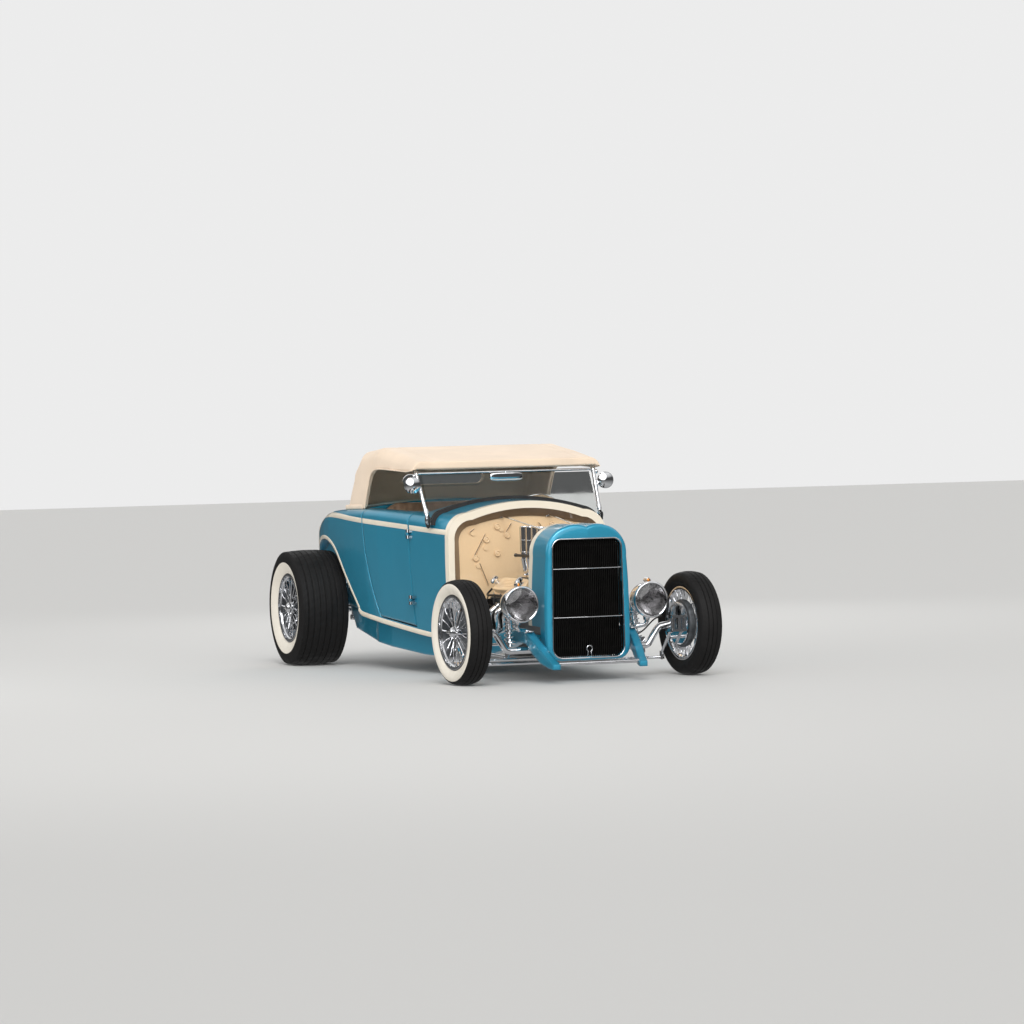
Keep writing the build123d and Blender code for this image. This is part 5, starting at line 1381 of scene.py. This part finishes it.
class ROADSTER_OT_firewall(bpy.types.Operator):
    """The recess band round the firewall, painted dark taupe as the recess's shade, its raised dimples and
    its slanted slots with painted shade inside
    """
    bl_idname = "roadster.firewall"
    bl_label = "Firewall"

    def execute(self, context):
        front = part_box("firewall")[0].y
        self.shaded_recess(front)
        marks = []
        for x, z in DIMPLES:
            for side in (1, -1):
                middle = (side * x, front - 0.0004, z)
                marks.append(ring(middle, REARWARD, 0.0155, 0.0042, 36, 10, 0))
                marks.append(slab(middle, (0.022, 0.005, 0.022), 0.9, 3, 0))
        for (x0, z0), (x1, z1) in SLOTS:
            for side in (1, -1):
                start, end = np.array([side * x0, front, z0]), np.array([side * x1, front, z1])
                reach, middle = np.linalg.norm(end - start), (start + end) / 2
                tilt = math.degrees(math.atan2(end[2] - start[2], end[0] - start[0]))
                turn = turn_about("Y", -tilt)
                marks.append(slab(middle, (reach, 0.0035, 0.0125), 0.5, 4, 0, turn))
                # the slot's dark inner strip is painted shade
                marks.append(slab(middle - (0, 0.0012, 0), (reach - 0.008, 0.003, 0.0055), 0.5, 4, 1, turn))
        piece = build_piece("firewall_marks", marks, [FINISH["cream"], FINISH["shaded_recess"]], "chassis", 50)
        return {"FINISHED"}

    def shaded_recess(self, front):
        """A slanted band from the cowl's inner edge in to the firewall, followed round by rays, painted dark
        taupe as the shade in the recess.
        """
        centre, plane = np.array([0.0, RECESS_MIDDLE_Z]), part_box("cowl")[0].y + RECESS_BEHIND_FRONT
        edge = []
        for turn in np.radians(np.linspace(-38, 218, 130)):
            ray = Vector((math.cos(turn), 0, math.sin(turn)))
            hit, place, _, _ = NODES["cowl"].ray_cast(Vector((centre[0], plane, centre[1])), ray)
            if not hit:
                raise RuntimeError("the cowl's inner edge wasn't found")
            edge.append((place.x, place.z))
        edge = np.array(edge)
        inward = unit(centre - edge)
        depth = front - plane
        rows = []
        for step, behind in ((0.0, -0.004), (0.002, -0.0088), (0.048, depth - 0.001),
                             (0.050, depth + 0.002), (0.0, depth + 0.002)):
            flat = edge + inward * (step - 0.002)
            rows.append(np.stack([flat[:, 0], np.full(len(flat), plane + behind), flat[:, 1]], -1))
        band = Grid(np.stack(rows, 1), False, True)
        piece = build_piece("firewall_recess_painted_shade", [band], [FINISH["shaded_recess"]], "chassis", 40)


# The windshield posts' direction, and profiles of the collars on them and of the knobs beside them
POST_ALONG = (0, 0.4758, 0.8795)
KNOB = ((0.0, 0.0), (0.0, 0.0125), (0.010, 0.0125), (0.013, 0.010), (0.020, 0.0135), (0.026, 0.012),
        (0.029, 0.007), (0.030, 0.0))


def collar(place, half, radius):
    """A short sleeve round a windshield post."""
    return turned([(-half, 0), (-half, radius), (half, radius), (half, 0)], place, POST_ALONG, 20)


class ROADSTER_OT_windshield(bpy.types.Operator):
    """Mirror glasses and bezels, post feet, knobs and collars, and an inside mirror"""
    bl_idname = "roadster.windshield"
    bl_label = "Windshield trim"

    def execute(self, context):
        grids = []
        for side in (1, -1):
            grids += self.mirror(side) + self.post(side)
        bar = at(0, 1.108, 1.176)
        grids.append(slab(bar, (0.210, 0.014, 0.052), 0.45, 5))
        grids.append(slab(bar + (0, 0.0055, 0), (0.198, 0.006, 0.042), 0.35, 4, 1))
        grids.append(tube([bar, bar + (0, 0.008, 0.022), at(0, 1.121, 1.209)], 0.005, 10))
        piece = build_piece("windshield_trim", grids, [FINISH["chrome"], FINISH["mirror"], FINISH["seal"]],
                            "chassis", 38)
        return {"FINISHED"}

    def mirror(self, side):
        """A bezel and glass on the mirror's rear, a low dome on its front and a joint to its arm."""
        rear, front = at(side * 0.622, 1.0582, 1.140), at(side * 0.622, 1.0398, 1.140)
        return [ring(rear, REARWARD, 0.0475, 0.0024, 48, 8),
                turned([(0.0, 0.0), (0.0006, 0.045), (-0.001, 0.0465)], rear, REARWARD, 48, 1),
                turned(dished(0.0, -0.012, 0.048, 10), front, REARWARD, 48),
                slab(at(side * 0.596, 1.064, 1.126), (0.018, 0.018, 0.018), 0.9, 4)]

    def post(self, side):
        """A chrome foot on a rubber pad, two knobs, the arm's collar and two more up the post."""
        grids = [slab(at(side * 0.5565, 0.978, 0.932), (0.030, 0.046, 0.048), 0.8, 6),
                 slab(at(side * 0.5535, 0.979, 0.922), (0.018, 0.082, 0.084), 1.0, 8, 2)]
        for place in (at(side * 0.5660, 1.0825, 1.134), at(side * 0.5700, 1.1150, 1.193)):
            grids.append(turned(KNOB, place, (side, 0, 0), 24))
        grids.append(collar(at(side * 0.5655, 1.070, 1.110), 0.012, 0.013))
        for station, z in ((0.999, 0.980), (1.121, 1.206)):
            post_x = 0.556 + (z - 0.972) / 0.244 * 0.016
            grids.append(collar(at(side * post_x, station, z), 0.014, 0.0145))
        return grids


def soft_copy(name, source, body, voxel, shrink, cap, pressure=4.0, steps=20):
    """A padded piece from a construction solid: merged, drawn in a little, remeshed, then swollen by
    cloth under pressure, with each point's travel held to the cap."""
    mesh = NODES[source].data.copy()
    mesh.name = name
    piece = bpy.data.objects.new(name, mesh)
    bpy.context.scene.collection.objects.link(piece)
    work = bmesh.new()
    work.from_mesh(mesh)
    bmesh.ops.remove_doubles(work, verts=work.verts, dist=1e-5)
    bmesh.ops.recalc_face_normals(work, faces=work.faces)
    work.to_mesh(mesh)
    work.free()
    coarse = piece.modifiers.new("coarse", "REMESH")
    coarse.mode, coarse.voxel_size = "VOXEL", voxel
    settle(piece)
    start = rows_of(piece.data.vertices, "co") - rows_of(piece.data.vertices, "normal") * shrink
    piece.data.vertices.foreach_set("co", start.ravel())
    cloth = piece.modifiers.new("cloth", "CLOTH")
    cloth.settings.use_pressure = True
    cloth.settings.uniform_pressure_force = pressure
    cloth.settings.quality = 4
    cloth.settings.effector_weights.gravity = 0
    cloth.collision_settings.use_collision = False
    scene = bpy.context.scene
    for frame_number in range(1, steps + 1):
        scene.frame_set(frame_number)
    settle(piece)
    scene.frame_set(1)
    travel = rows_of(piece.data.vertices, "co") - start
    far = np.linalg.norm(travel, axis=1)
    held = np.minimum(far, cap) / np.maximum(far, 1e-9)
    piece.data.vertices.foreach_set("co", (start + travel * held[:, None]).ravel())
    piece.data.polygons.foreach_set("use_smooth", np.ones(len(piece.data.polygons), bool))
    piece.data.materials.clear()
    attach(piece, body)
    return piece


def settle(piece):
    """Apply the piece's modifiers by putting their result in its mesh."""
    shaped = piece.evaluated_get(bpy.context.evaluated_depsgraph_get())
    mesh = bpy.data.meshes.new_from_object(shaped)
    piece.modifiers.clear()
    piece.data = mesh


def pressed(piece, groove):
    """Move each point against its normal by a function of its place and normal, for seams and channels."""
    place, normal = rows_of(piece.data.vertices, "co"), rows_of(piece.data.vertices, "normal")
    depth = groove(place, normal)
    piece.data.vertices.foreach_set("co", (place - normal * depth[:, None]).ravel())


def groove_shape(distance, width, depth):
    """A sewn channel's depth at a distance from its line: the bell curve depth*exp(-(distance/width)^2)."""
    return depth * np.exp(-(distance / width) ** 2)


# The seat's channels: distance apart, width and depth, and how far out they run
CHANNEL_PITCH, CHANNEL_WIDTH, CHANNEL_DEPTH, CHANNELS_TO = 0.083, 0.009, 0.009, 0.455


class ROADSTER_OT_seats(bpy.types.Operator):
    """Seat cushion and back in tan leather, swollen, with channels and a back rounded at its ends"""
    bl_idname = "roadster.seats"
    bl_label = "Seats"

    def execute(self, context):
        sizes = context.scene.roadster_sizes
        voxel, shrink = 0.010, 0.007
        # the axis that each pad's padded face looks along, and its direction
        for source, axis, sign in (("seat_cushion", 2, 1), ("seat_back", 1, -1)):
            piece = soft_copy(source + "_padded", source, "chassis", voxel, shrink, sizes.pad_cap)
            piece.data.materials.append(FINISH["leather"])

            def channels(place, normal, axis=axis, sign=sign):
                """Even channels across the seat on its padded face, none on its sides."""
                across = np.abs((place[:, 0] / CHANNEL_PITCH + 0.5) % 1.0 - 0.5) * CHANNEL_PITCH
                faces_out = np.clip(sign * normal[:, axis] * 2, 0, 1)
                inside = np.clip((CHANNELS_TO - np.abs(place[:, 0])) / 0.02, 0, 1)
                return groove_shape(across, CHANNEL_WIDTH, CHANNEL_DEPTH) * faces_out * inside

            pressed(piece, channels)
            if source == "seat_back":
                self.round_ends(piece)
            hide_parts(source)
        front_edge = np.array([at(x, 1.4525, 0.448) for x in np.linspace(-0.47, 0.47, 20)])
        piping = [tube(front_edge, 0.0042, 8)]
        piece = build_piece("seat_piping", piping, [FINISH["dark_leather"]], "chassis", 60)
        return {"FINISHED"}

    def round_ends(self, piece):
        """The back's top sinks towards its ends: drop = 5.5*(|x| - 0.38)^2, faded in over its upper half."""
        fall, level_to, foot_z, fade = 5.5, 0.38, 0.62, 0.40
        place = rows_of(piece.data.vertices, "co")
        share = np.clip((place[:, 2] - foot_z) / fade, 0, 1)
        beyond = np.maximum(np.abs(place[:, 0]) - level_to, 0)
        place[:, 2] -= fall * beyond ** 2 * share ** 2 * (3 - 2 * share)
        piece.data.vertices.foreach_set("co", place.ravel())


# The side window's edge in the soft top, as station and height
TOP_WINDOW = ((1.095, 1.2225), (1.200, 1.216), (1.420, 1.223), (1.639, 1.230), (1.771, 1.227), (1.858, 1.193),
              (1.920, 1.107), (1.975, 1.008), (2.005, 0.960))
# The roof's seams lie this far from the middle, and only above this height
ROOF_SEAM_X, ROOF_ABOVE = 0.47, 1.24
# The rear window: half length of its straight runs, radius of its ends, height of its middle
REAR_STRAIGHT, REAR_END_R, REAR_MIDDLE_Z = 0.230, 0.038, 1.160


class ROADSTER_OT_top(bpy.types.Operator):
    """The padded lift-off top: one cloth form with bound window edges and two roof seams"""
    bl_idname = "roadster.top"
    bl_label = "Soft top"

    def execute(self, context):
        voxel, shrink, pressure = 0.0095, 0.0015, 3.0
        cap = context.scene.roadster_sizes.pad_cap * 0.5
        piece = soft_copy("soft_top_padded", "soft_top", "chassis", voxel, shrink, cap, pressure)
        piece.data.materials.append(FINISH["cloth"])

        def seams(place, normal):
            """Two roof seams along the car, at equal distances from its middle."""
            roof = np.clip(normal[:, 2] * 2, 0, 1) * (place[:, 2] > ROOF_ABOVE)
            lengthwise = groove_shape(np.abs(np.abs(place[:, 0]) - ROOF_SEAM_X), 0.006, 0.004)
            return lengthwise * roof

        pressed(piece, seams)
        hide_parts("soft_top")
        trim = []
        above_edge, sunk = 0.006, 0.0012
        window = curve_through([(station - MIDDLE, z) for station, z in TOP_WINDOW], 10)
        for side in (1, -1):
            line = draped("window", window[:, None, :] + (0, above_edge), side, ["soft_top"])[:, 0]
            line[:, 0] -= side * sunk
            trim.append(tube(line, 0.0042, 8))
        outline = self.rear_window()
        trim.append(tube(np.vstack([outline, outline[:2]]), 0.0052, 8))
        trim.append(self.foot_binding())
        piece = build_piece("soft_top_trim", trim, [FINISH["cloth"]], "chassis", 60)
        middle = np.broadcast_to(outline.mean(0), outline.shape)
        inside, back_face = np.array([0.0, -0.012, -0.008]), 1.2
        rows = [middle + inside, outline + inside, outline + inside * back_face, middle + inside * back_face]
        pane = Grid(np.stack(rows, 1), True, True)
        piece = build_piece("rear_pane", [pane], [FINISH["glass"]], "chassis", 30)
        return {"FINISHED"}

    def foot_binding(self):
        """A flat binding round the top's foot: along both quarters and across the sloping rear. It stands on
        the deck, upright at the sides and leaning with the slope behind, and its section is an ellipse."""
        half, bend, front, slope = 0.611, 0.066, 2.022, 2.397
        half_height, half_thick, lifted, sides = 0.0145, 0.0052, 0.001, 14
        leaning = np.array([0.0, -0.58, 0.815])
        quarter = [(half, station, 0.0) for station in np.linspace(front, slope - bend, 28)]
        corner = [(half - bend + bend * math.cos(a), slope - bend + bend * math.sin(a), math.sin(a))
                  for a in np.linspace(0, math.pi / 2, 16)[1:-1]]
        rear = [(x, slope, 1.0) for x in np.linspace(half - bend, 0, 36)]
        left_half = quarter + corner + rear
        path = left_half + [(-x, station, lean) for x, station, lean in left_half[-2::-1]]
        feet, ups = [], []
        for x, station, lean in path:
            start = Vector(at(x, station, 1.06))
            landed = [NODES[node].ray_cast(start, Vector((0, 0, -1))) for node in ("body_tub", "decklid")]
            heights = [place.z for hit, place, _, _ in landed if hit]
            if heights:
                feet.append((start.x, start.y, max(heights) + lifted))
                ups.append(UP * (1 - lean) + leaning * lean)
        feet, ups = np.array(feet), unit(np.array(ups))
        outward = unit(np.cross(ups, np.gradient(feet, axis=0)))
        t = around(sides)[None, :, None]
        loop = (feet[:, None] + ups[:, None] * half_height * (1 + np.cos(t))
                + outward[:, None] * half_thick * np.sin(t))
        return closed_strip(loop)

    def rear_window(self):
        """The rear window's edge: two half circles joined by straight runs, laid on the sloping rear,
        whose station falls by 0.711 m per metre of height."""
        turn = around(80)
        x = np.sign(np.cos(turn)) * REAR_STRAIGHT + REAR_END_R * np.cos(turn)
        z = REAR_MIDDLE_Z + REAR_END_R * np.sin(turn)
        station = 2.291 - (z - 1.104) * 0.711 - 0.001
        return np.stack([x, station - MIDDLE, z], -1)


# The dash's gauges, as place across and radius, and the height of their middles
GAUGES = ((-0.120, 0.030), (-0.040, 0.030), (0.040, 0.030), (0.120, 0.030), (0.240, 0.046), (0.345, 0.046))
GAUGE_Z = 0.880
# The steering wheel: middle, direction of its column, and radius of its rim
WHEEL_MIDDLE, COLUMN_ALONG, WHEEL_R = (0.330, 1.500, 0.890), (0, 0.88540, 0.46483), 0.172


class ROADSTER_OT_cabin(bpy.types.Operator):
    """Gauges in the dash and a ribbed grip on the steering wheel"""
    bl_idname = "roadster.cabin"
    bl_label = "Cabin"

    def execute(self, context):
        grids = []
        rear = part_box("dash")[1].y
        for x, radius in GAUGES:
            grids += self.gauge(np.array([x, rear + 0.0005, GAUGE_Z]), radius)
        piece = build_piece("dash_gauges", grids,
                            [FINISH["chrome"], FINISH["black"], FINISH["stripe"], FINISH["amber"]],
                            "chassis", 45)
        piece = build_piece("steering_wheel_grip", [self.grip()], [FINISH["cream"]], "steering_wheel", 60)
        return {"FINISHED"}

    def gauge(self, middle, radius):
        """A dark face, a bright bezel, eleven marks from -120 to 120 degrees and a needle."""
        face = [(-0.002, 0), (-0.002, radius - 0.003), (-0.001, radius - 0.002)]
        grids = [turned(face, middle, REARWARD, 36, 1),
                 ring(middle + (0, 0.002, 0), REARWARD, radius, 0.0034, 40, 8, 0)]
        for turn in np.radians(np.arange(-120, 121, 24) + 90):
            direction = np.array([math.cos(turn), 0, math.sin(turn)])
            start = middle + (0, -0.0006, 0) + direction * (radius * 0.68)
            grids.append(tube([start, start + direction * radius * 0.15], 0.0007, 4, 2))
        pivot = middle + (0, 0.0004, 0)
        tip = pivot + np.array([-0.7, 0, 0.7]) * radius * 0.8
        grids.append(tube([pivot, tip], 0.0009, 4, 3))
        return grids

    def grip(self):
        """A torus about the column whose thickness, 13.2 + 0.8*cos(30*turn) mm, makes thirty ribs."""
        a, e, f = axes_of(COLUMN_ALONG)
        turn, small = around(240), around(12)
        thick = (0.0132 + 0.0008 * np.cos(turn * 30))[:, None]
        spoke = np.cos(turn)[:, None] * e + np.sin(turn)[:, None] * f
        circle = (WHEEL_R + thick * np.cos(small)[None])[..., None] * spoke[:, None]
        return Grid(at(*WHEEL_MIDDLE) + circle + (thick * np.sin(small)[None])[..., None] * a, True, True)


class ROADSTER_OT_tail(bpy.types.Operator):
    """Red tail-lamp lenses with bright bezels"""
    bl_idname = "roadster.tail"
    bl_label = "Tail lamps"

    def execute(self, context):
        grids = []
        for side in (1, -1):
            seat = at(side * 0.350, 3.0635, 0.610)
            lens = [(-0.002, 0.0), (-0.002, 0.034)] + dished(0.0, 0.010, 0.034, 9)
            grids.append(turned(lens, seat, REARWARD, 40, 1))
            grids.append(ring(seat, REARWARD, 0.0365, 0.0036, 44, 10))
        piece = build_piece("tail_lenses", grids, [FINISH["chrome"], FINISH["red"]], "chassis", 40)
        return {"FINISHED"}


GROUPS = (RoadsterPaints, RoadsterSizes)
STEPS = (ROADSTER_OT_finishes, ROADSTER_OT_stage, ROADSTER_OT_tyres, ROADSTER_OT_wheels, ROADSTER_OT_stripes,
         ROADSTER_OT_shell, ROADSTER_OT_lamps, ROADSTER_OT_engine, ROADSTER_OT_firewall,
         ROADSTER_OT_windshield, ROADSTER_OT_seats, ROADSTER_OT_top, ROADSTER_OT_cabin, ROADSTER_OT_tail)


class ROADSTER_PT_panel(bpy.types.Panel):
    """The dressing's steps, with their paints and sizes"""
    bl_idname = "ROADSTER_PT_panel"
    bl_label = "Roadster"
    bl_space_type = "VIEW_3D"
    bl_region_type = "UI"
    bl_category = "Roadster"

    def draw(self, context):
        for group in (context.scene.roadster_paints, context.scene.roadster_sizes):
            for key in group.__annotations__:
                self.layout.prop(group, key)
        for operator in STEPS:
            self.layout.operator(operator.bl_idname)


CLASSES = GROUPS + STEPS + (ROADSTER_PT_panel,)


def register():
    """Makes the steps, the panel and the two groups of values known."""
    for item in CLASSES:
        bpy.utils.register_class(item)
    bpy.types.Scene.roadster_paints = bpy.props.PointerProperty(type=RoadsterPaints)
    bpy.types.Scene.roadster_sizes = bpy.props.PointerProperty(type=RoadsterSizes)


def unregister():
    """Takes them all away again."""
    del bpy.types.Scene.roadster_sizes
    del bpy.types.Scene.roadster_paints
    for item in reversed(CLASSES):
        bpy.utils.unregister_class(item)


def corners():
    """The object's box as two plain lists."""
    low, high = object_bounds()
    return [list(low), list(high)]


def main():
    """Runs every step in order."""
    register()
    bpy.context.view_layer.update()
    for operator in STEPS:
        group, name = operator.bl_idname.split(".")
        getattr(getattr(bpy.ops, group), name)()


if __name__ == "__main__":
    main()
